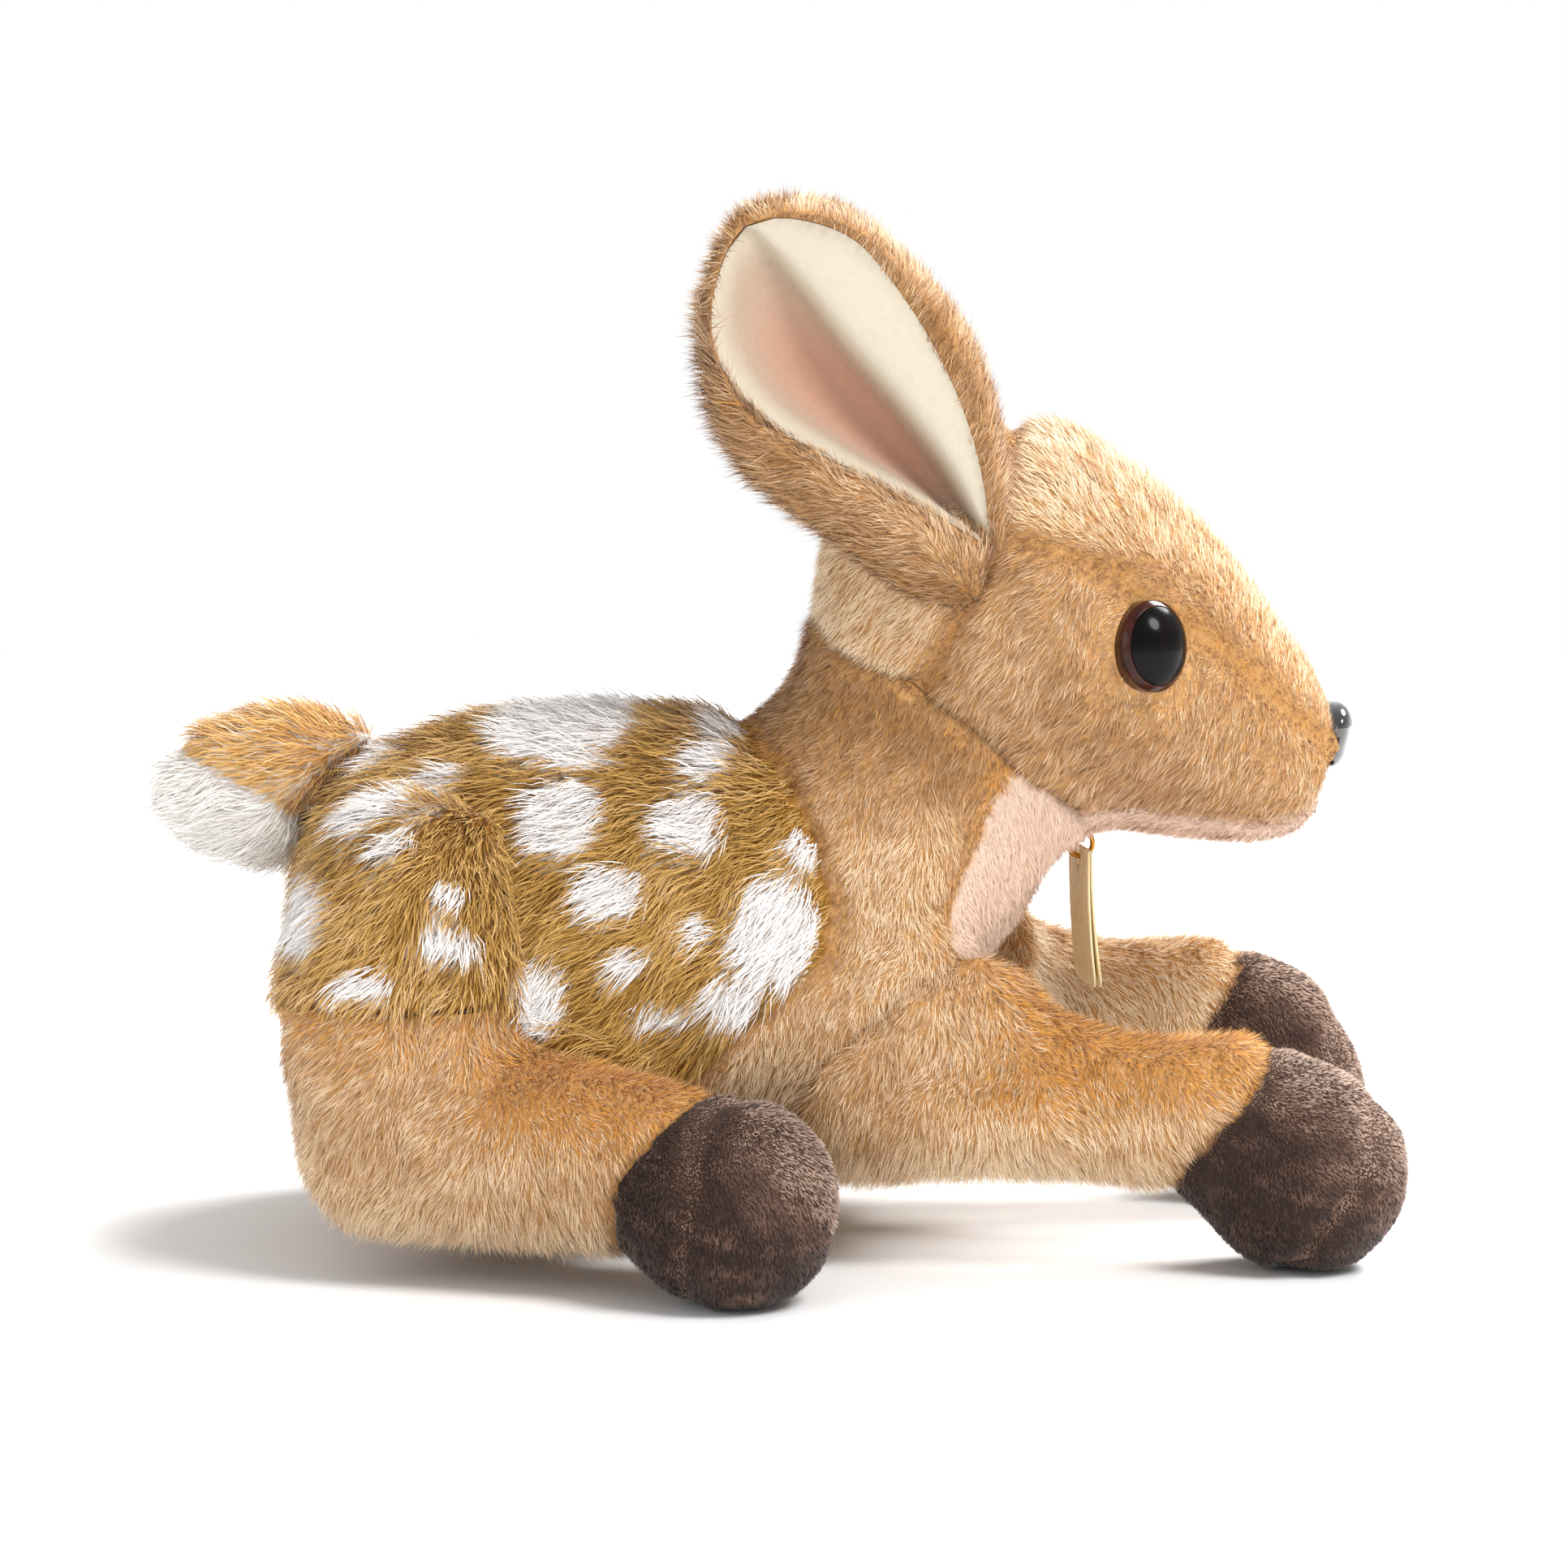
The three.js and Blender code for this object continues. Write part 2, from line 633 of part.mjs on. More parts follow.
add(body, "saddle", torsoSkin.intersect(saddleSide(0)).subtract(bellySide(CLEAR)), SPOTTED);
add(body, "belly_panel", torsoSkin.intersect(bellySide(0)), TAN);
addPair(bodyPair, "shoulder_panel", shoulderSkin, TAN);
add(body, "body_filling", torso(-PLUSH - SLACK, INNER.body, INNER.neck), FIBRE);

// Haunches, sewn to the flanks over the hind legs

const haunchForm = new Form(
  HAUNCH_PROFILE.map(({ up, forward, inward, wide, deep }) => ({
    centre: vector(
      HAUNCH_X + forward * HAUNCH_LEAN_FORWARD,
      -HAUNCH_Y + inward * HAUNCH_LEAN_IN,
      between(HAUNCH_SEAM, HAUNCH_TOP, up) - HAUNCH_ROUND,
    ),
    halfWidth: (wide * HAUNCH_WIDTH) / 2,
    halfHeight: (deep * HAUNCH_DEPTH) / 2,
  })),
  OUTER.haunch,
  HAUNCH_ROUND,
  HAUNCH_ROUND,
);
const stillTorso = torso(CLEAR, OUTER.body, OUTER.neck);
const belowHaunch = halfSpace(vector(0, 0, HAUNCH_SEAM + CLEAR), vector(0, 0, -1));
const haunchCover = haunchForm
  .solid()
  .subtract(haunchForm.solid(-PLUSH, INNER.haunch))
  .subtract(belowHaunch)
  .subtract(stillTorso);
const haunchFilling = haunchForm
  .solid(-PLUSH - SLACK, INNER.haunch)
  .subtract(belowHaunch)
  .subtract(stillTorso);

addPair(bodyPair, "haunch", haunchCover, SPOTTED);
addPair(bodyPair, "haunch_filling", haunchFilling, FIBRE);

// Legs: one form from the root to the hoof's tip, cut at the hoof's seam and at its sole

function limbForm(root, hoof, profile) {
  const legPart = profile.map(({ along, out, down, thick }) => ({
    centre: vector(
      between(root.x, hoof.x, along),
      between(root.y, hoof.y, out),
      between(root.z, hoof.z, down),
    ),
    radius: (thick * LEG_DIAMETER) / 2,
  }));
  const seam = legPart[HOOF_SEAM].centre;
  const hoofPart = HOOF_PROFILE.map(({ part, thick }) => ({
    centre: seam.clone().lerp(hoof, part),
    radius: (thick * HOOF_DIAMETER) / 2,
  }));
  const stations = [...legPart, ...hoofPart];
  return new Form(
    stations.map(({ centre, radius }) => ({ centre, halfWidth: radius, halfHeight: radius })),
    OUTER.limb,
    stations[0].radius,
    HOOF_TIP_ROUND,
  );
}

// The cover, hoof, sole and filling of one leg; more forms may join it at the root
function addLeg(name, form, extra, axisPoint, outAngle, beyondRoot) {
  const groups = pivotPair(`${name}_swing`, axisPoint);
  const seam = form.ring(HOOF_SEAM / (HOOF_SEAM + HOOF_PROFILE.length));
  const tip = form.ring(1);
  const soleAt = tip.centre.clone().addScaledVector(tip.axis, form.endRound - SOLE_DEPTH);
  const room = sweptRoom(torsoRoom, axisPoint, UP, -outAngle, 0).add(belowFloor);
  const trimmed = (shape) => (beyondRoot ? shape.subtract(beyondRoot) : shape).subtract(room);
  const whole = (grow, facets, extraFacets) =>
    extra ? form.solid(grow, facets).add(extra.solid(grow, extraFacets)) : form.solid(grow, facets);
  const outside = trimmed(whole(0, OUTER.limb, OUTER.thigh));
  const legSkin = outside.subtract(whole(-PLUSH, INNER.limb, INNER.thigh));
  const hoofSkin = outside.subtract(form.solid(-VELOUR, INNER.limb));
  const pastSeam = halfSpace(seam.centre, seam.axis);
  const pastSole = halfSpace(soleAt, tip.axis);
  const nearSeam = halfSpace(seam.centre.clone().addScaledVector(seam.axis, -CLEAR), seam.axis);
  const nearSole = halfSpace(soleAt.clone().addScaledVector(tip.axis, -CLEAR), tip.axis);
  addPair(groups, `${name}_cover`, legSkin.subtract(nearSeam), TAN);
  addPair(groups, `${name}_hoof`, hoofSkin.intersect(pastSeam).subtract(nearSole), HOOF_VELOUR);
  addPair(groups, `${name}_sole`, hoofSkin.intersect(pastSole), HOOF_VELOUR);
  const filling = whole(-PLUSH - SLACK, INNER.limb, INNER.thigh);
  addPair(groups, `${name}_filling`, trimmed(filling), FIBRE);
}

const hoofHeight = HOOF_DIAMETER / 2 - FLOOR_DIP;
const shoulder = vector(SHOULDER_X, -SHOULDER_Y, SHOULDER_HEIGHT);
const frontLeg = limbForm(shoulder, vector(FRONT_HOOF_X, -FRONT_HOOF_Y, hoofHeight), FRONT_LEG_PROFILE);
addLeg("front_leg", frontLeg, null, shoulder, FRONT_LEG_OUT, null);

const knee = vector(HAUNCH_X, -HAUNCH_Y, HIND_LEG_HEIGHT);
const hindLeg = limbForm(knee, vector(HIND_HOOF_X, -HIND_HOOF_Y, hoofHeight), HIND_LEG_PROFILE);
const thigh = new Form(
  [
    { centre: knee, halfWidth: LEG_DIAMETER / 2, halfHeight: LEG_DIAMETER / 2 },
    { centre: knee.clone().setZ(HAUNCH_SEAM), halfWidth: HAUNCH_WIDTH / 2, halfHeight: HAUNCH_WIDTH / 2 },
  ],
  OUTER.thigh,
  THIGH_ROUND,
  THIGH_ROUND,
);
const aboveKnee = halfSpace(vector(0, 0, HAUNCH_SEAM), UP);
addLeg("hind_leg", hindLeg, thigh, knee, HIND_LEG_OUT, aboveKnee);

// Tail

const tailRoot = vector(TAIL_ROOT_X, 0, BODY_HEIGHT - TAIL_ROOT_DROP);
const tailForm = new Form(
  TAIL_PROFILE.map(({ along, wide, deep }) => ({
    centre: tailRoot.clone().setX(TAIL_ROOT_X - along * TAIL_LENGTH),
    halfWidth: (wide * TAIL_WIDTH) / 2,
    halfHeight: (deep * TAIL_DEPTH) / 2,
  })),
  OUTER.tail,
  TAIL_ROUND,
  TAIL_ROUND,
);
const tail = pivotGroup("tail_wag", tailRoot);
const tailRoom = sweptRoom(torsoRoom, tailRoot, UP, -TAIL_WAG, TAIL_WAG);
const tailSkin = tailForm.solid().subtract(tailForm.solid(-PLUSH, INNER.tail)).subtract(tailRoom);
const tailSeam = tailRoot.clone().setX(TAIL_ROOT_X - TAIL_SEAM_AT * TAIL_LENGTH);
const underTail = leaning(-90 - TAIL_SEAM_SLOPE);
const aboveTailSeam = halfSpace(tailSeam.clone().addScaledVector(underTail, -CLEAR), underTail);

add(tail, "tail_top", tailSkin.subtract(aboveTailSeam), TAN);
add(tail, "tail_underside", tailSkin.intersect(halfSpace(tailSeam, underTail)), WHITE);
add(tail, "tail_filling", tailForm.solid(-PLUSH - SLACK, INNER.tail).subtract(tailRoom), FIBRE);

// Head form: the neck is round at its seam, and the head turns on it

const headForm = new Form(
  HEAD_PROFILE.map(({ forward, up, wide, high, lean }) => ({
    centre: vector(NECK_X + forward * HEAD_LENGTH, 0, NECK_HEIGHT + up * HEAD_HEIGHT),
    halfWidth: (wide * HEAD_WIDTH) / 2,
    halfHeight: (high * HEAD_HEIGHT) / 2,
    lean,
  })),
  OUTER.head,
  CROWN_ROUND,
  MUZZLE_ROUND,
);
const head = pivotGroup("head_turn", neckSeam);
const headPair = { right: head, left: head };
const belowNeck = halfSpace(neckSeam.clone().addScaledVector(neckAxis, CLEAR), neckAxis.clone().negate());
const neckRoom = neckForm.solid(NECK_PLAY).add(belowNeck);

// Eyes: a cup with a shank, a domed pupil in it and a washer on the shank inside the skin

// Height of the eye's dome above the skin at a distance from its middle
function eyeDome(radius) {
  const rim = EYE_DIAMETER / 2;
  const sphere = (rim * rim + EYE_DOME * EYE_DOME) / (2 * EYE_DOME);
  return Math.sqrt(sphere * sphere - radius * radius) - (sphere - EYE_DOME);
}

function eyeCup() {
  const rim = EYE_DIAMETER / 2;
  const pocket = PUPIL_DIAMETER / 2 + CLEAR;
  const middle = (pocket + rim) / 2;
  return lathe([
    [0, -SHANK_LENGTH],
    [SHANK_DIAMETER / 2, -SHANK_LENGTH],
    [SHANK_DIAMETER / 2, -EYE_SEAT],
    [rim, -EYE_SEAT],
    [rim, 0],
    [middle, eyeDome(middle)],
    [pocket, eyeDome(pocket)],
    [pocket, PUPIL_SEAT],
    [0, PUPIL_SEAT],
  ]);
}

function eyePupil() {
  const rim = PUPIL_DIAMETER / 2;
  const dome = PUPIL_RINGS.map((share) => [rim * share, eyeDome(rim * share)]);
  return lathe([[0, PUPIL_SEAT + CLEAR], [rim, PUPIL_SEAT + CLEAR], ...dome, [0, EYE_DOME]]);
}

const washerTop = -PLUSH - WASHER_DROP;

function washer() {
  const hole = SHANK_DIAMETER / 2 + CLEAR;
  const ring = lathe([
    [0, washerTop - WASHER_THICK],
    [WASHER_DIAMETER / 2, washerTop - WASHER_THICK],
    [WASHER_DIAMETER / 2, washerTop],
    [0, washerTop],
  ]);
  const bore = lathe([[0, -FAR], [hole, -FAR], [hole, FAR], [0, FAR]]);
  return { ring, bore };
}

// Room for a shank and its washer in the filling
function lockRoom() {
  const wide = WASHER_DIAMETER / 2 + CLEAR;
  const narrow = SHANK_DIAMETER / 2 + CLEAR;
  const washerFoot = washerTop - WASHER_THICK - CLEAR;
  return lathe([
    [0, -SHANK_LENGTH - CLEAR],
    [narrow, -SHANK_LENGTH - CLEAR],
    [narrow, washerFoot],
    [wide, washerFoot],
    [wide, 0],
    [0, 0],
  ]);
}

// Room for an eye and its shank in the skin
function eyeHole() {
  const narrow = SHANK_DIAMETER / 2 + CLEAR;
  const wide = EYE_DIAMETER / 2 + CLEAR;
  return lathe([
    [0, -SHANK_LENGTH],
    [narrow, -SHANK_LENGTH],
    [narrow, -EYE_SEAT - CLEAR],
    [wide, -EYE_SEAT - CLEAR],
    [wide, FITTING_HEADROOM],
    [0, FITTING_HEADROOM],
  ]);
}

function seatedWasher(place) {
  const { ring, bore } = washer();
  return solid(seat(ring, place)).subtract(solid(seat(bore, place)));
}

const eyePlace = headForm.place(EYE_ALONG, 180 - EYE_ABOVE);
eyePlace.normal.applyAxisAngle(UP, radians(EYE_TURN));
const eyeSkinRoom = seat(eyeHole(), eyePlace);
const eyeLockRoom = seat(lockRoom(), eyePlace);

addPair(headPair, "eye", solid(seat(eyeCup(), eyePlace)), BROWN_EYE);
addPair(headPair, "pupil", solid(seat(eyePupil(), eyePlace)), BLACK_GLOSS);
addPair(headPair, "eye_washer", seatedWasher(eyePlace), WHITE_PLASTIC);

// Nose

const nosePlace = headForm.endPlace(NOSE_ABOVE);

// The nose without its shank, grown by a clearance
function noseButton(grow) {
  const stations = [-NOSE_SEAT - grow, NOSE_RIM].map((height) => ({
    centre: vector(0, 0, height),
    halfWidth: NOSE_HEIGHT / 2,
    halfHeight: NOSE_WIDTH / 2,
  }));
  const pointed = (angle) => 1 + NOSE_POINTED * Math.cos(NOSE_CORNERS * angle);
  return new Form(stations, NOSE_FACETS, NOSE_FOOT_ROUND, NOSE_DOME - NOSE_RIM, pointed).geometry(grow);
}

function noseShank(grow) {
  const radius = SHANK_DIAMETER / 2 + grow;
  return lathe([[0, -SHANK_LENGTH - grow], [radius, -SHANK_LENGTH - grow], [radius, 0], [0, 0]]);
}

function wholeNose(grow) {
  return solid(seat(noseButton(grow), nosePlace)).add(solid(seat(noseShank(grow), nosePlace)));
}

add(head, "nose", wholeNose(0), BLACK_GLOSS);
add(head, "nose_washer", seatedWasher(nosePlace), WHITE_PLASTIC);

// Head covers: back of the head, forehead gusset, cheeks and chin, with one filling inside

// A wedge that opens from the head's middle line, upwards or downwards
function headWedge(direction, spread, grow) {
  const rear = headForm.ring(0).centre;
  const front = headForm.ring(1).centre;
  const axis = front.clone().sub(rear).normalize();
  const upward = vector().crossVectors(axis, LEFT).multiplyScalar(direction);
  const apex = -grow / Math.sin(radians(spread));
  const half = FAR * Math.tan(radians(spread));
  const shape = new THREE.Shape();
  shape.moveTo(0, apex);
  shape.lineTo(half, FAR + apex);
  shape.lineTo(-half, FAR + apex);
  const cut = new THREE.ExtrudeGeometry(shape, { depth: FAR, bevelEnabled: false });
  const sideways = vector().crossVectors(upward, axis);
  const frame = new THREE.Matrix4().makeBasis(sideways, upward, axis);
  const start = rear.clone().addScaledVector(axis, -FAR / 2);
  return solid(cut.applyMatrix4(frame).translate(start.x, start.y, start.z));
}

function crownSide(grow) {
  const axis = leaning(CROWN_SEAM_LEAN);
  const point = headForm.path.getPoint(CROWN_SEAM_AT).addScaledVector(axis, grow);
  return halfSpace(point, axis.negate());
}

const headSkin = headForm
  .solid()
  .subtract(headForm.solid(-PLUSH, INNER.head))
  .subtract(neckRoom)
  .subtract(wholeNose(CLEAR))
  .subtract(solid(eyeSkinRoom))
  .subtract(solid(mirrored(eyeSkinRoom)));
const frontSkin = headSkin.subtract(crownSide(CLEAR));
const cheekSkin = frontSkin
  .subtract(headWedge(1, GUSSET_SPREAD, CLEAR))
  .subtract(headWedge(-1, CHIN_SPREAD, CLEAR))
  .subtract(halfSpace(vector(0, -CLEAR / 2, 0), LEFT));
const headFilling = headForm
  .solid(-PLUSH - SLACK, INNER.head)
  .subtract(neckRoom)
  .subtract(solid(seat(lockRoom(), nosePlace)))
  .subtract(solid(eyeLockRoom))
  .subtract(solid(mirrored(eyeLockRoom)));

add(head, "head_back", headSkin.intersect(crownSide(0)), TAN);
add(head, "head_gusset", frontSkin.intersect(headWedge(1, GUSSET_SPREAD, 0)), TAN);
addPair(headPair, "cheek", cheekSkin, TAN);
add(head, "chin_panel", frontSkin.intersect(headWedge(-1, CHIN_SPREAD, 0)), PALE);
add(head, "head_filling", headFilling, FIBRE);

// Ears: a cupped back of plush and a lining inside it

const earBase = headForm.place(EAR_ALONG, 180 - EAR_ABOVE).point;
const earAxis = UP.clone()
  .applyAxisAngle(LEFT, radians(-EAR_BACKWARD))
  .applyAxisAngle(FORWARD, radians(EAR_OUTWARD));
const earOpening = vector(0, -1, 0).applyAxisAngle(UP, radians(EAR_OPEN_FORWARD));
earOpening.addScaledVector(earAxis, -earOpening.dot(earAxis)).normalize();
const earAcross = vector().crossVectors(earOpening, earAxis);
const earHinge = earAcross.clone().negate(); // a positive turn folds the right ear outwards

const earShape = smoothCurve(
  EAR_PROFILE.map(({ wide, deep }, i) => vector(i, (wide * EAR_WIDTH) / 2, deep * EAR_CUP)),
);

// A point of the ear: share of its length, distance from its middle line, depth behind the hollow's face
function earPoint(along, sideways, depth) {
  const { y: halfWidth, z: cup } = earShape.getPoint(along);
  const hollow = cup * (1 - (sideways / halfWidth) ** 2);
  return earBase
    .clone()
    .addScaledVector(earAxis, along * EAR_LENGTH - EAR_BURIED)
    .addScaledVector(earAcross, sideways)
    .addScaledVector(earOpening, -hollow - depth - EAR_BOW * along * along);
}

// A cupped leaf between two depths, from one share of the length to another, over a share of the width
function earLeaf(front, back, cover, foot, tip) {
  const [across, steps] = EAR_FACETS;
  const points = [earPoint(foot, 0, (front + back) / 2)];
  for (let i = 0; i <= steps; i += 1) {
    const part = Math.sin((i / (steps + 1)) * (Math.PI / 2)); // closer towards the tip
    const along = between(foot, tip, part);
    const half = earShape.getPoint(part).y * cover;
    for (const face of ["front", "back"]) {
      for (let j = 0; j < across; j += 1) {
        const share = (1 - (2 * j) / (across - 1)) * (face === "front" ? 1 : -1);
        const rounded = Math.sqrt(1 - EAR_EDGE_ROUND * share * share);
        const depth = face === "front" ? front : front + (back - front) * rounded;
        points.push(earPoint(along, half * share, depth));
      }
    }
  }
  points.push(earPoint(tip, 0, (front + back) / 2));
  return closedLoft(points, across * 2, steps + 1);
}

const ears = pivotPair("ear_fold", earBase);
const earRoom = sweptRoom([headForm.geometry(CLEAR)], earBase, earHinge, -EAR_IN, EAR_OUT);

const earBack = earLeaf(0, PLUSH, 1, 0, 1);
const earLining = earLeaf(-CLEAR - LINING, -CLEAR, EAR_RIM, EAR_LINING_FOOT, EAR_LINING_TIP);

addPair(ears, "ear_back", solid(earBack).subtract(earRoom), TAN);
addPair(ears, "ear_lining", solid(earLining).subtract(earRoom), EAR_CLOTH);

// Hang tag on a ring and a cord loop sewn into the throat

const throat = neckForm.place(TAG_THROAT, -90);
const loopCentre = throat.point.clone().addScaledVector(FORWARD, LOOP_DIAMETER / 2 - LOOP_SEWN);
const ringRise = (LOOP_CORD + RING_WIRE) / 2 + CLEAR; // the ring's top wire lies over the cord
const ringCentre = loopCentre.clone().add(vector(LOOP_DIAMETER / 2, 0, ringRise - RING_DIAMETER / 2));
const tagTurn = new THREE.Matrix4().makeRotationZ(radians(TAG_TURN));

function cordLoop(grow) {
  const loop = new THREE.TorusGeometry(LOOP_DIAMETER / 2, LOOP_CORD / 2 + grow, ...WIRE_FACETS);
  return solid(loop.translate(loopCentre.x, loopCentre.y, loopCentre.z));
}

function tagRing() {
  const wire = new THREE.TorusGeometry(RING_DIAMETER / 2, RING_WIRE / 2, ...WIRE_FACETS);
  const ring = wire.rotateX(Math.PI / 2);
  return solid(ring.applyMatrix4(tagTurn).translate(ringCentre.x, ringCentre.y, ringCentre.z));
}

// One leaf in the tag's own plane, its hole at the origin and its length downwards
function tagLeaf() {
  const half = TAG_WIDTH / 2;
  const low = TAG_EDGE - TAG_LENGTH;
  const shape = new THREE.Shape();
  shape.moveTo(-half + TAG_CORNER, low);
  shape.lineTo(half - TAG_CORNER, low);
  shape.absarc(half - TAG_CORNER, low + TAG_CORNER, TAG_CORNER, -Math.PI / 2, 0, false);
  shape.lineTo(half, TAG_EDGE);
  shape.lineTo(-half, TAG_EDGE);
  shape.absarc(-half + TAG_CORNER, low + TAG_CORNER, TAG_CORNER, Math.PI, Math.PI * 1.5, false);
  const hole = new THREE.Path();
  hole.absarc(0, 0, TAG_HOLE / 2, 0, 2 * Math.PI, true);
  shape.holes.push(hole);
  const leaf = new THREE.ExtrudeGeometry(shape, {
    depth: TAG_CARD,
    bevelEnabled: false,
    curveSegments: TAG_CORNER_FACETS,
  });
  return leaf.applyMatrix4(new THREE.Matrix4().makeBasis(LEFT, UP, FORWARD));
}

function foldedTag() {
  const fold = vector(0, 0, TAG_EDGE);
  const rear = turned(tagLeaf(), fold, LEFT, TAG_OPENING / 2);
  const front = turned(tagLeaf(), fold, LEFT, -TAG_OPENING / 2);
  const hole = ringCentre.clone().add(vector(0, 0, -RING_DIAMETER / 2));
  const place = (leaf) => solid(leaf.applyMatrix4(tagTurn).translate(hole.x, hole.y, hole.z));
  return place(rear).add(place(front));
}

const tag = pivotGroup("tag_swing", ringCentre);
add(body, "chest_bib", bibSkin.subtract(cordLoop(CLEAR)), PALE);
add(body, "tag_cord", cordLoop(0), CORD);
add(body, "tag_ring", tagRing(), BRASS);
add(tag, "hang_tag", foldedTag(), CARD);

// The middle of the footprint is the origin
const box = new THREE.Box3().setFromObject(fawn);
fawn.position.set(-(box.min.x + box.max.x) / 2, 0, -box.min.z);

export default fawn;
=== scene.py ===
import json
import math

import bpy
import numpy as np
from mathutils import Matrix, Vector
from mathutils.bvhtree import BVHTree


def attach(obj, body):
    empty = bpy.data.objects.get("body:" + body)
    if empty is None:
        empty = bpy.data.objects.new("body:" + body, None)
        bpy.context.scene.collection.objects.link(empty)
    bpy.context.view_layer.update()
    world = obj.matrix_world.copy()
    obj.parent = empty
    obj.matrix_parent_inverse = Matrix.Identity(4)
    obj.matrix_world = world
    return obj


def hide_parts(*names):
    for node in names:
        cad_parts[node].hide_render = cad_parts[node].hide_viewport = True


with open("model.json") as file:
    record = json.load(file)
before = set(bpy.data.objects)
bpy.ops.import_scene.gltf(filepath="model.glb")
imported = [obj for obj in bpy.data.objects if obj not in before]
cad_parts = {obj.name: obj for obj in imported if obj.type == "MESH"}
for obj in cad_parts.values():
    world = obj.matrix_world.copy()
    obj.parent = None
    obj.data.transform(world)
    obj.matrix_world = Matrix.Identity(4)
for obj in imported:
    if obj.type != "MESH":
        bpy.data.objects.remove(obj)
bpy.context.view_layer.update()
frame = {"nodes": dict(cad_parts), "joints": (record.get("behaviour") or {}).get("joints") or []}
joints = {joint["name"]: joint for joint in frame["joints"]}
random = np.random.default_rng(7)

MM = 0.001
UP = np.array([0.0, 0.0, 1.0])
MAP_NAME = "OFBake"  # map of tone and place along the strand, read by the pile's colours
MAP_DEPTH = 0.25  # height of that map
TONE_WIDTH = 1 / 128  # of one strand on that map
BROWN_TO = 0.62  # darkest to lightest brown on the spotted map, and from where it is white
WHITE_FROM = 0.7

# Stuffed skins
VOXEL = 4.5 * MM
SMOOTH_ROUNDS = 30
SMOOTH_IN = 0.5
SMOOTH_OUT = -0.53
SEAM_WIDTH = 2.6 * MM
FLOOR_GAP = 0.4 * MM  # between the lowest strands and the floor
# Where legs and head are sewn to the torso: how far the filling of the crease reaches, and how deep
# the cloth follows it
WELD_FRONT = 56 * MM
WELD_HIND = 12 * MM
WELD_NECK = 22 * MM
WELD_ROUNDS = 320
WELD_PULL = 0.5
WELD_FADE = (1, 0.3)  # shares of the reach where the pull begins and is full
WELD_DEPTH = 30 * MM
WELD_CLOSE = 12 * MM  # edges of neighbours this far below the joined form come up to it
WELD_EVEN_ROUNDS = 4
# What juts out sinks only where the cloth looks sideways: how far it looks up and forward there
WELD_UPWARD = (-0.5, 0)
WELD_FORWARD = (-0.8, -0.3)
# Cloth simulation that fills the skins out a little between their seams, most of all on the legs
PUFF_PRESSURE = 4
PUFF_FRAMES = 20
PUFF_QUALITY = 4
PUFF_STIFFNESS = 20
PUFF_SHEAR = 10
PUFF_MOST = 1.6 * MM
PUFF_PIN = 3 * MM  # cloth nearer to a seam than this stays
# The cloth rises beside the joints to close them, on the torso and on the part that is joined to it
JOIN_REACH = (15 * MM, 2.5 * MM)  # from where it rises, and where fully
TORSO_RISES = {"neck": 2.6 * MM, "front": 3 * MM, "hind": 1.2 * MM}
LIMB_RISES = {"neck": 0.4 * MM, "front": 2 * MM, "hind": -1.6 * MM}
NECK_SEAM_EASE = 2.2 * MM  # the seam between head and torso is softer than the others by this distance
FAR_AWAY = 1.0  # stands for no neighbour

# Where panels reach further than their CAD pieces
GUSSET_WIDER = 4.5 * MM  # its seams run through the eyes
SHOULDER_LOWER = 11 * MM  # back, low down
SHOULDER_HEIGHTS = (70 * MM, 50 * MM)
SOLE_WIDER = 10 * MM  # up the hooves
HIND_SOLE = 1.4  # the hind ones reach further by this factor
HOOF_SLANT = 8 * MM  # back, underneath
HOOF_SLANT_HEIGHTS = (46 * MM, 22 * MM)
HOOF_TOP_SHORT = 4 * MM  # the hind ones reach less far on top

# Relief of the cloth
BACK_SINK = 2 * MM  # the long pile stands up a little on the back
CHEST_BACK = 13 * MM  # the chest slopes back this much down to the legs
CHEST_HEIGHTS = (96 * MM, 60 * MM)
CHEST_FRONTS = (15 * MM, 48 * MM)
CHEST_SIDES = (46 * MM, 28 * MM)
FAR_LEG_RISE = 10 * MM  # the left front leg lies a little higher
FAR_LEG_HEIGHTS = (24 * MM, 46 * MM)
TAG_ROOM = 2.6 * MM  # the cloth lies deeper around the tag's ring
TAG_REACH = (14 * MM, 6 * MM)
TAG_CLEAR = 6 * MM  # no pile nearer to the ring than this
MUZZLE_FROM = 70 * MM  # where the pile of the head begins to get shorter towards the nose
MUZZLE_TO = 125 * MM
MUZZLE_SINK = 1.6 * MM
EYE_SINK = 3 * MM
EYE_REACH = (20 * MM, 10 * MM)
NOSE_SINK = 3.2 * MM
NOSE_REACH = (18 * MM, 9 * MM)
FOREHEAD_RISE = 1.6 * MM
FOREHEAD_TO = 95 * MM
CHIN_DROP = 2.2 * MM

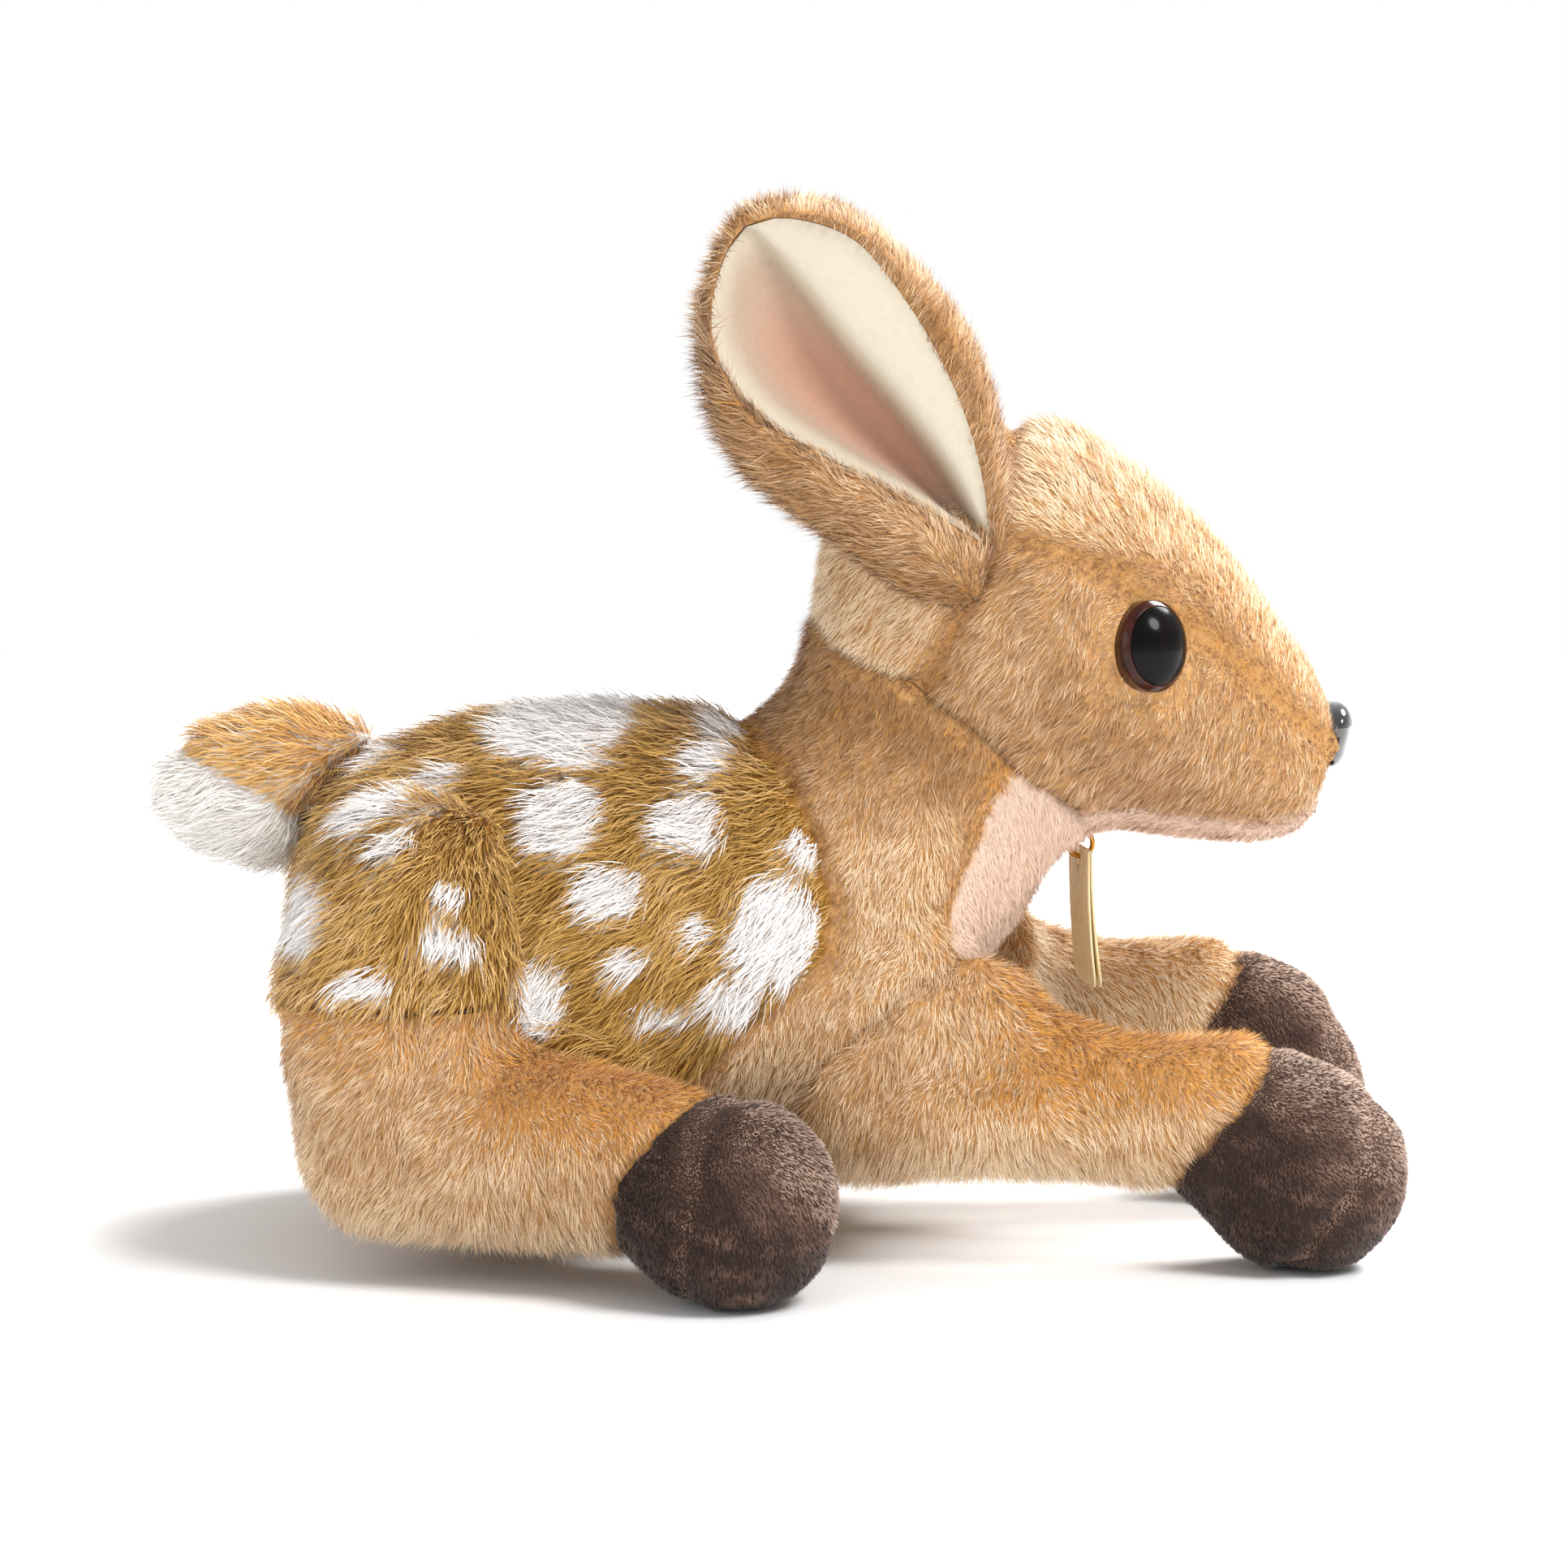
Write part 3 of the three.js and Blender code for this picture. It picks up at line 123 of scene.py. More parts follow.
# Pile: sizes in millimetres, strands per square millimetre, lift of the strands from the cloth in degrees,
# share of the length that a tuft's tips draw together, size of a tuft, how deep the cloth lies, how deep
# its seams are, bends per strand
PILES = {
    "tan": dict(long=3.8, wide=0.23, dense=3.1, lift=50, tuft=0.25, cell=1.6, sink=-0.4, seam=2.0, bends=0),
    "saddle": dict(long=8.6, wide=0.26, dense=2.0, lift=26, tuft=0.4, cell=2.6, sink=0.5, seam=1.8, bends=1),
    "pale": dict(long=2.6, wide=0.24, dense=3.2, lift=58, tuft=0.1, cell=2.0, sink=-0.3, seam=1.2, bends=0),
    "white": dict(long=7.5, wide=0.27, dense=2.3, lift=34, tuft=0.4, cell=2.6, sink=0.4, seam=1.2, bends=1),
    "under": dict(long=4.0, wide=0.5, dense=0.7, lift=25, tuft=0.2, cell=3.0, sink=0.6, seam=1.0, bends=0),
    "ear": dict(long=4.4, wide=0.25, dense=3.2, lift=38, tuft=0.4, cell=2.0, sink=0, seam=0, bends=0),
    "velour": dict(long=1.2, wide=0.42, dense=4.6, lift=55, tuft=0.1, cell=2.0, sink=-1.1, seam=1.1, bends=0),
}

# The way the pile lies on each panel, before it is laid on the cloth
FLOWS = {
    "saddle": (-0.75, 0, -0.65),
    "belly_panel": (-1, 0, 0),
    "shoulder_panel": (-0.3, 0, -0.95),
    "chest_bib": (0.1, 0, -1),
    "haunch": (-0.45, 0, -0.9),
    "head_back": (-0.6, 0, -0.8),
    "head_gusset": (-0.85, 0, 0.5),
    "cheek": (-0.6, 0, -0.8),
    "chin_panel": (-1, 0, 0.1),
    "tail_top": (-1, 0, -0.1),
    "tail_underside": (-1, 0, -0.35),
    "leg_cover": (0.4, 0, -0.9),
    "leg_hoof": (0.5, 0, -0.85),
    "leg_sole": (0.2, 0, -1),
}
PANEL_PILES = {
    "saddle": "saddle",
    "belly_panel": "under",
    "chest_bib": "pale",
    "haunch": "saddle",
    "chin_panel": "pale",
    "tail_top": "white",
    "tail_underside": "white",
    "leg_hoof": "velour",
    "leg_sole": "velour",
}

# How the strands stray, as shares of their sizes where no unit is given
SWAY = 0.4
SWAY_SIZE = 14 * MM
STRAY = 0.2
LIFT_STRAY = 9  # degrees
TIP_LIFT = 0.35  # lift of the outer half
LENGTHS = (0.7, 1.2)
WIDTHS = (0.7, 1.25)
BEND_WIDTH = 0.8
BEND_PULL = 0.3
NORMAL_BEND = 0.4
NORMAL_STRAY = 0.12
STRAND_SHADE = 0.11
TUFT_SHADE = 0.05
VELOUR_SHADE = 0.5  # share of a strand's own shade on velour
# Pile length as a share: at a seam, around an eye, lost on the muzzle and the faded haunch, added under a leg
SEAM_PILE = 0.45
SEAM_REACH = 5 * MM
EYE_PILE = 0.4
MUZZLE_SHORTER = 0.35
HAUNCH_SHORTER = 0.3
UNDER_LEG_LONGER = 0.5
UNDER_LEG = (-0.3, -0.8)  # how far down the cloth looks there

# Tones of the pile: the middle, what broad and fine patches add, the lowest and the highest
TONES = {
    "saddle": (0.27, 0.09, 0.07, 0.02, 0.58),
    "haunch": (0.27, 0.09, 0.07, 0.02, 0.58),
    "chest_bib": (0.5, 0.15, 0.1, 0.02, 0.98),
    "chin_panel": (0.5, 0.15, 0.1, 0.02, 0.98),
    "tail_top": (0.26, 0.1, 0, 0.02, 0.5),
    "tail_underside": (0.88, 0.06, 0, 0.72, 0.98),
    "leg_hoof": (0.1, 0.24, 0.2, 0.02, 0.95),
    "leg_sole": (0.1, 0.24, 0.2, 0.02, 0.95),
}
# Middle tones of the tan plush on each panel, all one cloth: the cheek's lower tone is painted shade and the
# gusset's higher one painted light
TAN_TONES = {
    "shoulder_panel": 0.72,
    "cheek": 0.54,
    "head_gusset": 0.73,
    "head_back": 0.84,
    "leg_cover": 0.67,
    "belly_panel": 0.5,
}
TAN_PATCHES = (0.07, 0.06)
BROAD_PATCH = 38 * MM
FINE_PATCH = 9 * MM
WHITE_TONE = 0.9
# Painted light: the saddle's and the tan plush's pile is paler where it looks up
SADDLE_TOP_PAINTED_LIGHT = 0.06
TAN_TOP_PAINTED_LIGHT = 0.12
MUZZLE_PALER = 0.14
# Painted light: the far front leg's tan pile is paler
FAR_LEG_PAINTED_LIGHT = 0.28
VELOUR_PAINTED_LIGHT = 1.3  # painted light: velour is paler where it looks this way
PAINTED_LIGHT_FACING = np.array([0.62, 0, 0.66])
PAINTED_LIGHT_POWER = 1.2
VELOUR_CLOTH_PAINTED_LIGHT = (0.7, 1.6)  # painted light on the cloth below: its least shade, and what the light adds
STITCH_PALER = 0.5
STITCH_WIDTH = 1.7 * MM
SEAM_SHADE = 0.4
SEAM_SHADE_WIDTH = 2.4 * MM
SEAM_DARKEST = 0.3
BROW_SHADE = 0.3  # a darker strip runs along the gusset's seams from the eyes to the nose
BROW_FROM = 66 * MM
BROW_TO = 82 * MM
BROW_WIDE = 14 * MM
# Painted shade under the head: the shoulder panels darken up towards the neck, between these heights
NECK_PAINTED_SHADE = 0.35
NECK_HEIGHTS = (88 * MM, 120 * MM)
GOLDEN = 0.03  # tone of the golden strands on top of the legs
TOP_GOLDEN = {"right": 0.85, "left": 0.15}  # their share; smaller on the left, the far side, as painted light
TOP_GOLDEN_REACH = 1.5
LEG_STARTS = {"front": (34 * MM, 62 * MM), "hind": (-74 * MM, -54 * MM)}
ROOT_FLOWS = {"front": FLOWS["shoulder_panel"], "hind": FLOWS["haunch"]}
# Between these heights, and behind these fronts, the haunch's brown and the hind leg's tan mix
HAUNCH_FADE = (84 * MM, 62 * MM)
THIGH_FADE = (42 * MM, 64 * MM)
HAUNCH_FRONTS = (-42 * MM, -62 * MM)
HAUNCH_PALER = 0.3
HAUNCH_MIX = 0.6
THIGH_MIX = 0.5

# White spots on the right flank, in millimetres: x, z, half length, half height, tilt in degrees
SPOTS = [
    (-48, 111.5, 18, 5.5, 7),
    (-78, 113, 4, 1.6, 0),
    (-44, 105, 8, 2.2, -2),
    (-13, 111, 6, 2.4, 10),
    (-17, 105, 6, 4.2, 15),
    (-48, 94.5, 9.5, 8, 0),
    (-21, 93.5, 8, 6.6, 10),
    (4, 89, 5.5, 4, -25),
    (-38, 80, 8, 5.8, 0),
    (-2, 72, 11, 12.5, -15),
    (-19, 72, 2.6, 4, 0),
    (-34, 66, 5, 3, 20),
    (-52, 59, 5, 8.9, 8),
    (-12, 58, 7.5, 5.3, -10),
    (-27, 55, 7, 2.4, -8),
    (-90, 105, 5.5, 2.4, 38),
    (-82, 97.5, 15.5, 3, 27),
    (-83, 89, 5.2, 2.6, 30),
    (-101, 75, 5, 8.5, -10),
    (-71, 80, 4, 2.2, -25),
    (-71.5, 71.5, 7, 3.4, -20),
    (-88, 63, 7.5, 3, 8),
]
SPOT_EDGE = 0.16  # softness of a spot's outline, as a share of its size
SPOT_SIZE = 0.9  # the strands reach past a spot's cloth by the rest
SPOT_SQUARE = 2.6  # 2 is an ellipse
SPOT_STRAY = 0.14
SPOT_PLACE = 0.75  # place along a strand that says if it is white
FAR_SIDE_SHIFT = 5 * MM  # the left flank's spots lie this much further forward

# Ears: a leaf with thick furry rims around a lined hollow
EAR_LENGTH = 89 * MM  # from the head to the tip, without its pile
EAR_BURIED = 10 * MM
EAR_FOOT_TAPER = 0.6  # share of its width that it loses inside the head
EAR_FOOT = np.array([40.7, -37, 154]) * MM  # where its middle leaves the head, on the right
EAR_BACKWARD = 30
EAR_OUTWARD = 15
EAR_OPEN_FORWARD = 20
EAR_BOW = 5 * MM
# In millimetres, in equal steps from foot to tip, from the ear's middle line
EAR_FRONT_WIDTHS = [14, 23, 28, 27, 22, 13]
EAR_REAR_WIDTHS = [13, 20, 27, 29, 22.5, 12]
EAR_BACK_DEPTHS = [10, 13, 13, 11, 8, 3]
LINING_FRONT_EDGES = [-7.5, -14.5, -18, -18.6, -16.5, -11]
LINING_REAR_EDGES = [-6.5, 2.5, 13, 21.5, 22, 14]
HOLLOW_DEPTHS = [3, 8, 9.5, 8.5, 5, 0.5]
REAR_RIM_HEIGHTS = [7, 7.5, 6.5, 5, 3, 1.5]
FRONT_RIM_HEIGHT = 3.2
RIM_LEVEL = -1.5  # of the outermost edges
# Share of the lining's width where the hollow's front wall begins and ends and where its rear wall begins
HOLLOW_PLACES = (0.32, 0.44, 0.7)
EAR_TIP_FROM = 0.84  # share of the length where the tip begins to round
LINING_TIP_FROM = 0.76
LINING_FROM = 0.02
LINING_TO = 0.975
LINING_OVER = 0.4 * MM  # above the ear's cloth
LINING_ACROSS = (0.24, 0.76)  # shares of the face's width that it covers
LINING_CUT = 1.3  # width of the cloth it is cut from over its mean width
EAR_ROWS = 48
EAR_COLUMNS = 48
# Its pile: the way it lies along and across the ear, how much longer it is behind, and its tone
EAR_FLOW = (0.7, 0.75)
EAR_FLOW_TURN = 12 * MM
EAR_FRINGE = 0.45
EAR_FRINGE_FROM = (12 * MM, 26 * MM)
EAR_TONE = 0.5
EAR_PATCHES = (0.08, 0.06)
# Painted light: the ear's pile is paler where it looks up
EAR_TOP_PAINTED_LIGHT = 0.16

# Eyes and nose
EYE_DIAMETER = 20 * MM
EYE_NARROW = 0.87  # its breadth over its height
EYE_DOME = 5 * MM
EYE_SEAT = 1.2 * MM  # how deep it sits in the skin
EYE_DEPTH = 4 * MM  # of the cup below the skin
EYE_EDGE = 0.2 * MM  # height of the cup's rounded edge
EYE_RINGS = 6
PUPIL_DIAMETER = 17.2 * MM
PUPIL_FIT = 0.985  # the dome is this much smaller than its hole
PUPIL_DEPTH = 1 * MM
FITTING_SEGMENTS = 64
FITTING_RINGS = 18
NOSE_POINT = np.array([125.6, 0, 113.4]) * MM
NOSE_FACING = np.array([0.994, 0, -0.106])
NOSE_WIDTH = 23 * MM
NOSE_HEIGHT = 15 * MM
NOSE_DOME = 4 * MM
NOSE_SEAT = 5 * MM
NOSE_POINTED = 0.1
NOSE_FOOT = 0.9  # its size inside the skin
NOSE_OPEN = np.array([1, 0.7, 1])  # the bare place in the pile is wider than it is high
EYE_OPEN = 0.95  # the bare place over the eye's size

# Tag: a folded card whose leaves bow a little
TAG_WIDTH = 22 * MM
TAG_TOP = 2.4 * MM  # above its hole
TAG_BOTTOM = 28.6 * MM
TAG_CORNER = 3 * MM
TAG_HOLE = 4.4 * MM
TAG_CARD = 0.5 * MM
TAG_GAP = 0.9 * MM  # between the leaves at the bottom
TAG_BOW = 2.2 * MM
TAG_TURN = 8
TAG_RINGS = 12
TAG_STEP = 1.5 * MM  # along its outline
# Ring and cord of the tag
RING_WIRE = 1.2 * MM
RING_DROP = 2.8 * MM  # from the ring's middle to its lowest point, where the tag hangs
CORD_THICK = 1.4 * MM
WIRE_SEGMENTS = (48, 14)

# Stage, with lights as place, size and power, and the camera at the photograph's place
FLOOR_SIZE = 1.6
LIGHTS = {
    "key": ((0.9, -0.9, 1.4), 0.7, 27),
    "fill": ((-1.2, -1.1, 0.6), 1.0, 4),
    "rim": ((0.85, 0.8, 1.35), 0.9, 40),
}
CAMERA_TARGET = Vector((0.0025, 0, 0.1016))
CAMERA_DISTANCE = 1.2
CAMERA_ELEVATION = 6
CAMERA_LENS = 122.98
CAMERA_SENSOR = 36


# Small helpers

def unit(vectors):
    return vectors / np.maximum(np.linalg.norm(vectors, axis=-1, keepdims=True), 1e-12)


def smooth_step(low, high, value):
    share = np.clip((value - low) / (high - low), 0, 1)
    return share * share * (3 - 2 * share)


def waves(points, scale, seed):
    """A smooth field between about -1 and 1 that varies over a length of scale."""
    turn = np.random.default_rng(seed)
    total = np.zeros(len(points))
    for _ in range(5):
        way = unit(turn.normal(size=3)) * turn.uniform(0.7, 1.6) / scale
        total += np.sin(points @ way * 2 * math.pi + turn.uniform(0, 2 * math.pi))
    return total / 3


def curve_through(values, share):
    """A smooth curve through equally spaced values, at shares of its length from 0 to 1."""
    values = np.asarray(values, float)
    ends = np.concatenate([[2 * values[0] - values[1]], values, [2 * values[-1] - values[-2]]])
    place = np.clip(share, 0, 1) * (len(values) - 1)
    first = np.minimum(place.astype(int), len(values) - 2)
    t = place - first
    if values.ndim > 1:
        t = t[..., None]
    a, b, c, d = ends[first], ends[first + 1], ends[first + 2], ends[first + 3]
    rise, fall = (c - a) / 2, (d - b) / 2
    return b + t * (rise + t * (3 * (c - b) - 2 * rise - fall + t * (2 * (b - c) + rise + fall)))


def make_object(name, points, faces, smooth=True):
    """A mesh object from points and faces, which all have the same number of corners."""
    faces = np.asarray(faces, np.int32)
    count, corners = faces.shape
    mesh = bpy.data.meshes.new(name)
    mesh.vertices.add(len(points))
    mesh.vertices.foreach_set("co", np.asarray(points, np.float32).ravel())
    mesh.loops.add(faces.size)
    mesh.loops.foreach_set("vertex_index", faces.ravel())
    mesh.polygons.add(count)
    mesh.polygons.foreach_set("loop_start", np.arange(0, faces.size, corners, dtype=np.int32))
    mesh.update(calc_edges=True)
    mesh.validate()
    mesh.polygons.foreach_set("use_smooth", np.full(count, smooth))
    obj = bpy.data.objects.new(name, mesh)
    bpy.context.scene.collection.objects.link(obj)
    return obj


def read(items, key, width, kind=float):
    """A property of many mesh items, one row for each."""
    values = np.empty(len(items) * width, kind)
    items.foreach_get(key, values)
    return values.reshape(-1, width)


def points_of(mesh):
    return read(mesh.vertices, "co", 3)


def normals_of(mesh):
    return read(mesh.vertex_normals, "vector", 3)


def triangles_of(mesh):
    mesh.calc_loop_triangles()
    return read(mesh.loop_triangles, "vertices", 3, np.int32)


def edges_of(mesh):
    return read(mesh.edges, "vertices", 2, np.int32)


def move_points(mesh, points):
    mesh.vertices.foreach_set("co", points.ravel())
    mesh.update()


def set_attribute(mesh, name, kind, values):
    attribute = mesh.attributes.new(name, kind, "POINT")
    key = "color" if kind == "FLOAT_COLOR" else "value"
    attribute.data.foreach_set(key, values.astype(np.float32).ravel())


def grid_quads(rows, sides, closed=True):
    """Faces between rows of points; a closed row joins its last point to its first."""
    row = np.arange(rows - 1)[:, None] * sides
    i = np.arange(sides if closed else sides - 1)[None, :]
    j = (i + 1) % sides
    return np.stack([row + i, row + j, row + sides + j, row + sides + i], axis=-1).reshape(-1, 4)


def capped_triangles(rows, sides):
    """Triangles of a closed tube: its points are its rows, then the middles of its foot and its tip."""
    quads = grid_quads(rows, sides)
    i = np.arange(sides)
    j = (i + 1) % sides
    last = (rows - 1) * sides
    foot = np.stack([j, i, np.full(sides, last + sides)], axis=-1)
    tip = np.stack([last + i, last + j, np.full(sides, last + sides + 1)], axis=-1)
    return np.concatenate([quads[:, [0, 1, 2]], quads[:, [0, 2, 3]], foot, tip])


def finish_piece(obj, body, material, nodes=()):
    obj.data.materials.clear()
    obj.data.materials.append(material)
    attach(obj, body)
    if nodes:
        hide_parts(*nodes)


# Materials

def linear(red, green, blue):
    """A colour given as it looks on screen, from 0 to 255."""
    shares = [value / 255 for value in (red, green, blue)]
    bright = [v / 12.92 if v <= 0.04045 else ((v + 0.055) / 1.055) ** 2.4 for v in shares]
    return (*bright, 1)


def new_material(name, **values):
    material = bpy.data.materials.new(name)
    material.use_nodes = True
    shader = material.node_tree.nodes["Principled BSDF"]
    for key, value in values.items():
        shader.inputs[key.replace("_", " ")].default_value = value
    return material, material.node_tree, shader


def ramp(tree, stops):
    node = tree.nodes.new("ShaderNodeValToRGB")
    elements = node.color_ramp.elements
    while len(elements) < len(stops):
        elements.new(0.5)
    for element, (place, colour) in zip(elements, stops):
        element.position = place
        element.color = colour
    return node


def mixed(tree, factor, first, second):
    node = tree.nodes.new("ShaderNodeMix")
    node.data_type = "RGBA"
    tree.links.new(factor, node.inputs["Factor"])
    tree.links.new(first, node.inputs["A"])
    tree.links.new(second, node.inputs["B"])
    return node.outputs["Result"]


def noise(tree, scale, detail=3):
    place = tree.nodes.new("ShaderNodeTexCoord")
    node = tree.nodes.new("ShaderNodeTexNoise")
    node.inputs["Scale"].default_value = scale
    node.inputs["Detail"].default_value = detail
    tree.links.new(place.outputs["Object"], node.inputs["Vector"])
    return node.outputs["Fac"]


def bump(tree, shader, height, strength, distance):
    node = tree.nodes.new("ShaderNodeBump")
    node.inputs["Strength"].default_value = strength
    node.inputs["Distance"].default_value = distance
    tree.links.new(height, node.inputs["Height"])
    tree.links.new(node.outputs["Normal"], shader.inputs["Normal"])


def pile_material(name, roots, tips, sheen):
    """Strands coloured by their tone, along the map, and by the place along the strand, up the map."""
    material, tree, shader = new_material(
        name, Roughness=0.62, Sheen_Weight=sheen, Sheen_Roughness=0.45, Specular_IOR_Level=0.25
    )
    place = tree.nodes.new("ShaderNodeUVMap")
    place.uv_map = MAP_NAME
    split = tree.nodes.new("ShaderNodeSeparateXYZ")
    tree.links.new(place.outputs["UV"], split.inputs["Vector"])
    along = tree.nodes.new("ShaderNodeMapRange")
    along.inputs["From Max"].default_value = MAP_DEPTH
    tree.links.new(split.outputs["Y"], along.inputs["Value"])
    root = ramp(tree, roots)
    tip = ramp(tree, tips)
    tree.links.new(split.outputs["X"], root.inputs["Fac"])
    tree.links.new(split.outputs["X"], tip.inputs["Fac"])
    # painted shade: the colour darkens from tip to root
    colour = mixed(tree, along.outputs["Result"], root.outputs["Color"], tip.outputs["Color"])
    tree.links.new(colour, shader.inputs["Base Color"])
    return material


def cloth_material(name):
    """Backing cloth under the pile, coloured per point of the skin."""
    material, tree, shader = new_material(name, Roughness=0.9, Specular_IOR_Level=0.15)
    colour = tree.nodes.new("ShaderNodeAttribute")
    colour.attribute_name = "cloth"
    grain = ramp(tree, [(0.3, (0.75, 0.75, 0.75, 1)), (0.7, (1, 1, 1, 1))])
    tree.links.new(noise(tree, 900), grain.inputs["Fac"])
    shade = tree.nodes.new("ShaderNodeMix")
    shade.data_type = "RGBA"
    shade.blend_type = "MULTIPLY"
    shade.inputs["Factor"].default_value = 1
    tree.links.new(colour.outputs["Color"], shade.inputs["A"])
    tree.links.new(grain.outputs["Color"], shade.inputs["B"])
    tree.links.new(shade.outputs["Result"], shader.inputs["Base Color"])
    bump(tree, shader, noise(tree, 1500), 0.4, 0.0006)
    return material


def two_tone_material(name, low, high, scale, relief, **values):
    """A finish that wanders between two colours, with a fine relief."""
    material, tree, shader = new_material(name, **values)
    tones = ramp(tree, [(0.3, low), (0.7, high)])
    tree.links.new(noise(tree, scale), tones.inputs["Fac"])
    tree.links.new(tones.outputs["Color"], shader.inputs["Base Color"])
    bump(tree, shader, noise(tree, scale * 3), relief, 0.0004)
    return material


def lining_material(name):
    """Smooth cream velvet, with painted shade down in the hollow: darker and pinker there."""
    material, tree, shader = new_material(
        name, Roughness=0.9, Sheen_Weight=0.15, Sheen_Roughness=0.4, Specular_IOR_Level=0.2
    )
    deep = tree.nodes.new("ShaderNodeAttribute")
    deep.attribute_name = "hollow"
    tones = [ramp(tree, stops) for stops in (LINING_LOW, LINING_HIGH)]
    for node in tones:
        tree.links.new(deep.outputs["Fac"], node.inputs["Fac"])
    colour = mixed(tree, noise(tree, 700), *(node.outputs["Color"] for node in tones))
    tree.links.new(colour, shader.inputs["Base Color"])
    bump(tree, shader, noise(tree, 2100), 0.2, 0.0004)
    return material


def stops(*rows):
    """Colours along a ramp, from rows of place, red, green and blue."""
    return [(place, linear(*colour)) for place, *colour in rows]


# Colours of the pile along its tone map, at the roots and at the tips; the darker roots are painted shade
# down among the strands
TAN_ROOTS = stops(
    (0, 200, 134, 54), (0.12, 188, 126, 52), (0.21, 126, 86, 50), (0.3, 132, 92, 54),
    (0.42, 152, 110, 68), (0.54, 172, 134, 98), (0.66, 200, 160, 118), (0.8, 224, 192, 150),
    (1, 234, 206, 168),
)
TAN_TIPS = stops(
    (0, 255, 190, 88), (0.12, 246, 178, 84), (0.21, 166, 120, 74), (0.3, 172, 126, 80),
    (0.42, 188, 144, 94), (0.54, 210, 172, 134), (0.66, 240, 206, 164), (0.8, 255, 232, 196),
    (1, 255, 244, 220),
)
SADDLE_ROOTS = stops(
    (0, 104, 70, 22), (0.5, 178, 130, 56), (BROWN_TO, 204, 166, 110), (WHITE_FROM, 232, 222, 216),
    (1, 246, 243, 242),
)
SADDLE_TIPS = stops(
    (0, 150, 106, 38), (0.25, 208, 160, 74), (0.48, 240, 200, 128), (BROWN_TO, 244, 208, 160),
    (WHITE_FROM, 250, 245, 242), (1, 255, 254, 254),
)
PALE_ROOTS = stops((0, 216, 180, 156), (1, 234, 206, 184))
PALE_TIPS = stops((0, 236, 200, 174), (1, 252, 230, 212))
WHITE_ROOTS = stops((0, 176, 122, 54), (0.4, 214, 160, 84), (0.6, 232, 220, 206), (1, 246, 243, 240))
WHITE_TIPS = stops((0, 222, 160, 76), (0.4, 250, 208, 134), (0.6, 250, 244, 234), (1, 255, 254, 252))
# Hoof velour from dark to light; painted light lifts it towards the light end
HOOF_ROOTS = stops((0, 40, 26, 22), (1, 126, 96, 80))
HOOF_TIPS = stops((0, 54, 36, 30), (0.5, 134, 100, 82), (1, 216, 188, 166))

# Lining colours from its rims down into the hollow, darker and pinker there as painted shade
LINING_LOW = stops((0, 184, 173, 154), (0.4, 162, 141, 121), (1, 166, 125, 104))
LINING_HIGH = stops((0, 194, 185, 168), (0.4, 174, 153, 133), (1, 178, 137, 116))

tan_pile = pile_material("tan plush pile", TAN_ROOTS, TAN_TIPS, 0.25)
saddle_pile = pile_material("spotted plush pile", SADDLE_ROOTS, SADDLE_TIPS, 0.2)
pale_pile = pile_material("pale short pile", PALE_ROOTS, PALE_TIPS, 0.25)
tail_pile = pile_material("tail pile", WHITE_ROOTS, WHITE_TIPS, 0.25)
hoof_pile = pile_material("hoof velour pile", HOOF_ROOTS, HOOF_TIPS, 0.35)
backing = cloth_material("plush backing cloth")
lining_cloth = lining_material("ear lining velvet")
brass = two_tone_material(
    "brass wire", linear(176, 112, 44), linear(206, 150, 72), 400, 0.05, Roughness=0.3, Metallic=1.0
)
cord_thread = two_tone_material(
    "cord thread", linear(92, 60, 36), linear(128, 88, 54), 900, 0.5, Roughness=0.9
)
card = two_tone_material(
    "tag card", linear(232, 210, 158), linear(247, 230, 184), 500, 0.2, Roughness=0.6
)
washer_plastic = two_tone_material(
    "moulded washer plastic", linear(214, 212, 204), linear(226, 224, 218), 300, 0.05, Roughness=0.5
)
eye_brown = two_tone_material(
    "brown eye plastic", linear(34, 12, 8), linear(66, 26, 16), 260, 0.0,
    Roughness=0.15, Specular_IOR_Level=0.18, Coat_Weight=0.12, Coat_Roughness=0.03,
)
eye_black = two_tone_material(
    "black eye plastic", linear(6, 5, 5), linear(16, 12, 11), 200, 0.0,
    Roughness=0.2, Specular_IOR_Level=0.07, Coat_Weight=0.08, Coat_Roughness=0.02,
)
nose_black = two_tone_material(
    "black nose plastic", linear(8, 8, 9), linear(20, 19, 20), 300, 0.02,
    Roughness=0.1, Specular_IOR_Level=1.0, Coat_Weight=1.0, Coat_Roughness=0.04,
)


# Stuffed skins

def joined_nodes(names):
    """Points and triangles of several CAD nodes."""
    points, triangles, start = [], [], 0
    for name in names:
        mesh = frame["nodes"][name].data
        points.append(points_of(mesh))
        triangles.append(triangles_of(mesh) + start)
        start += len(points[-1])
    return np.concatenate(points), np.concatenate(triangles)


def with_modifier(obj, kind, **values):
    """The mesh of an object after one modifier; the object is removed."""
    modifier = obj.modifiers.new(kind, kind)
    for key, value in values.items():
        setattr(modifier, key, value)
    depsgraph = bpy.context.evaluated_depsgraph_get()
    mesh = bpy.data.meshes.new_from_object(obj.evaluated_get(depsgraph))
    bpy.data.objects.remove(obj)
    return mesh


def show(name, mesh):
    obj = bpy.data.objects.new(name, mesh)
    bpy.context.scene.collection.objects.link(obj)
    return obj


def pulled(points, edges, pull):
    """Points moved towards the middle of their neighbours."""
    first, second = edges.T
    count = np.bincount(edges.ravel(), minlength=len(points))[:, None]
    near = np.empty_like(points)
    for axis in range(3):
        column = points[:, axis]
        near[:, axis] = np.bincount(first, column[second], len(points))
        near[:, axis] += np.bincount(second, column[first], len(points))
    return points + pull * (near / count - points)


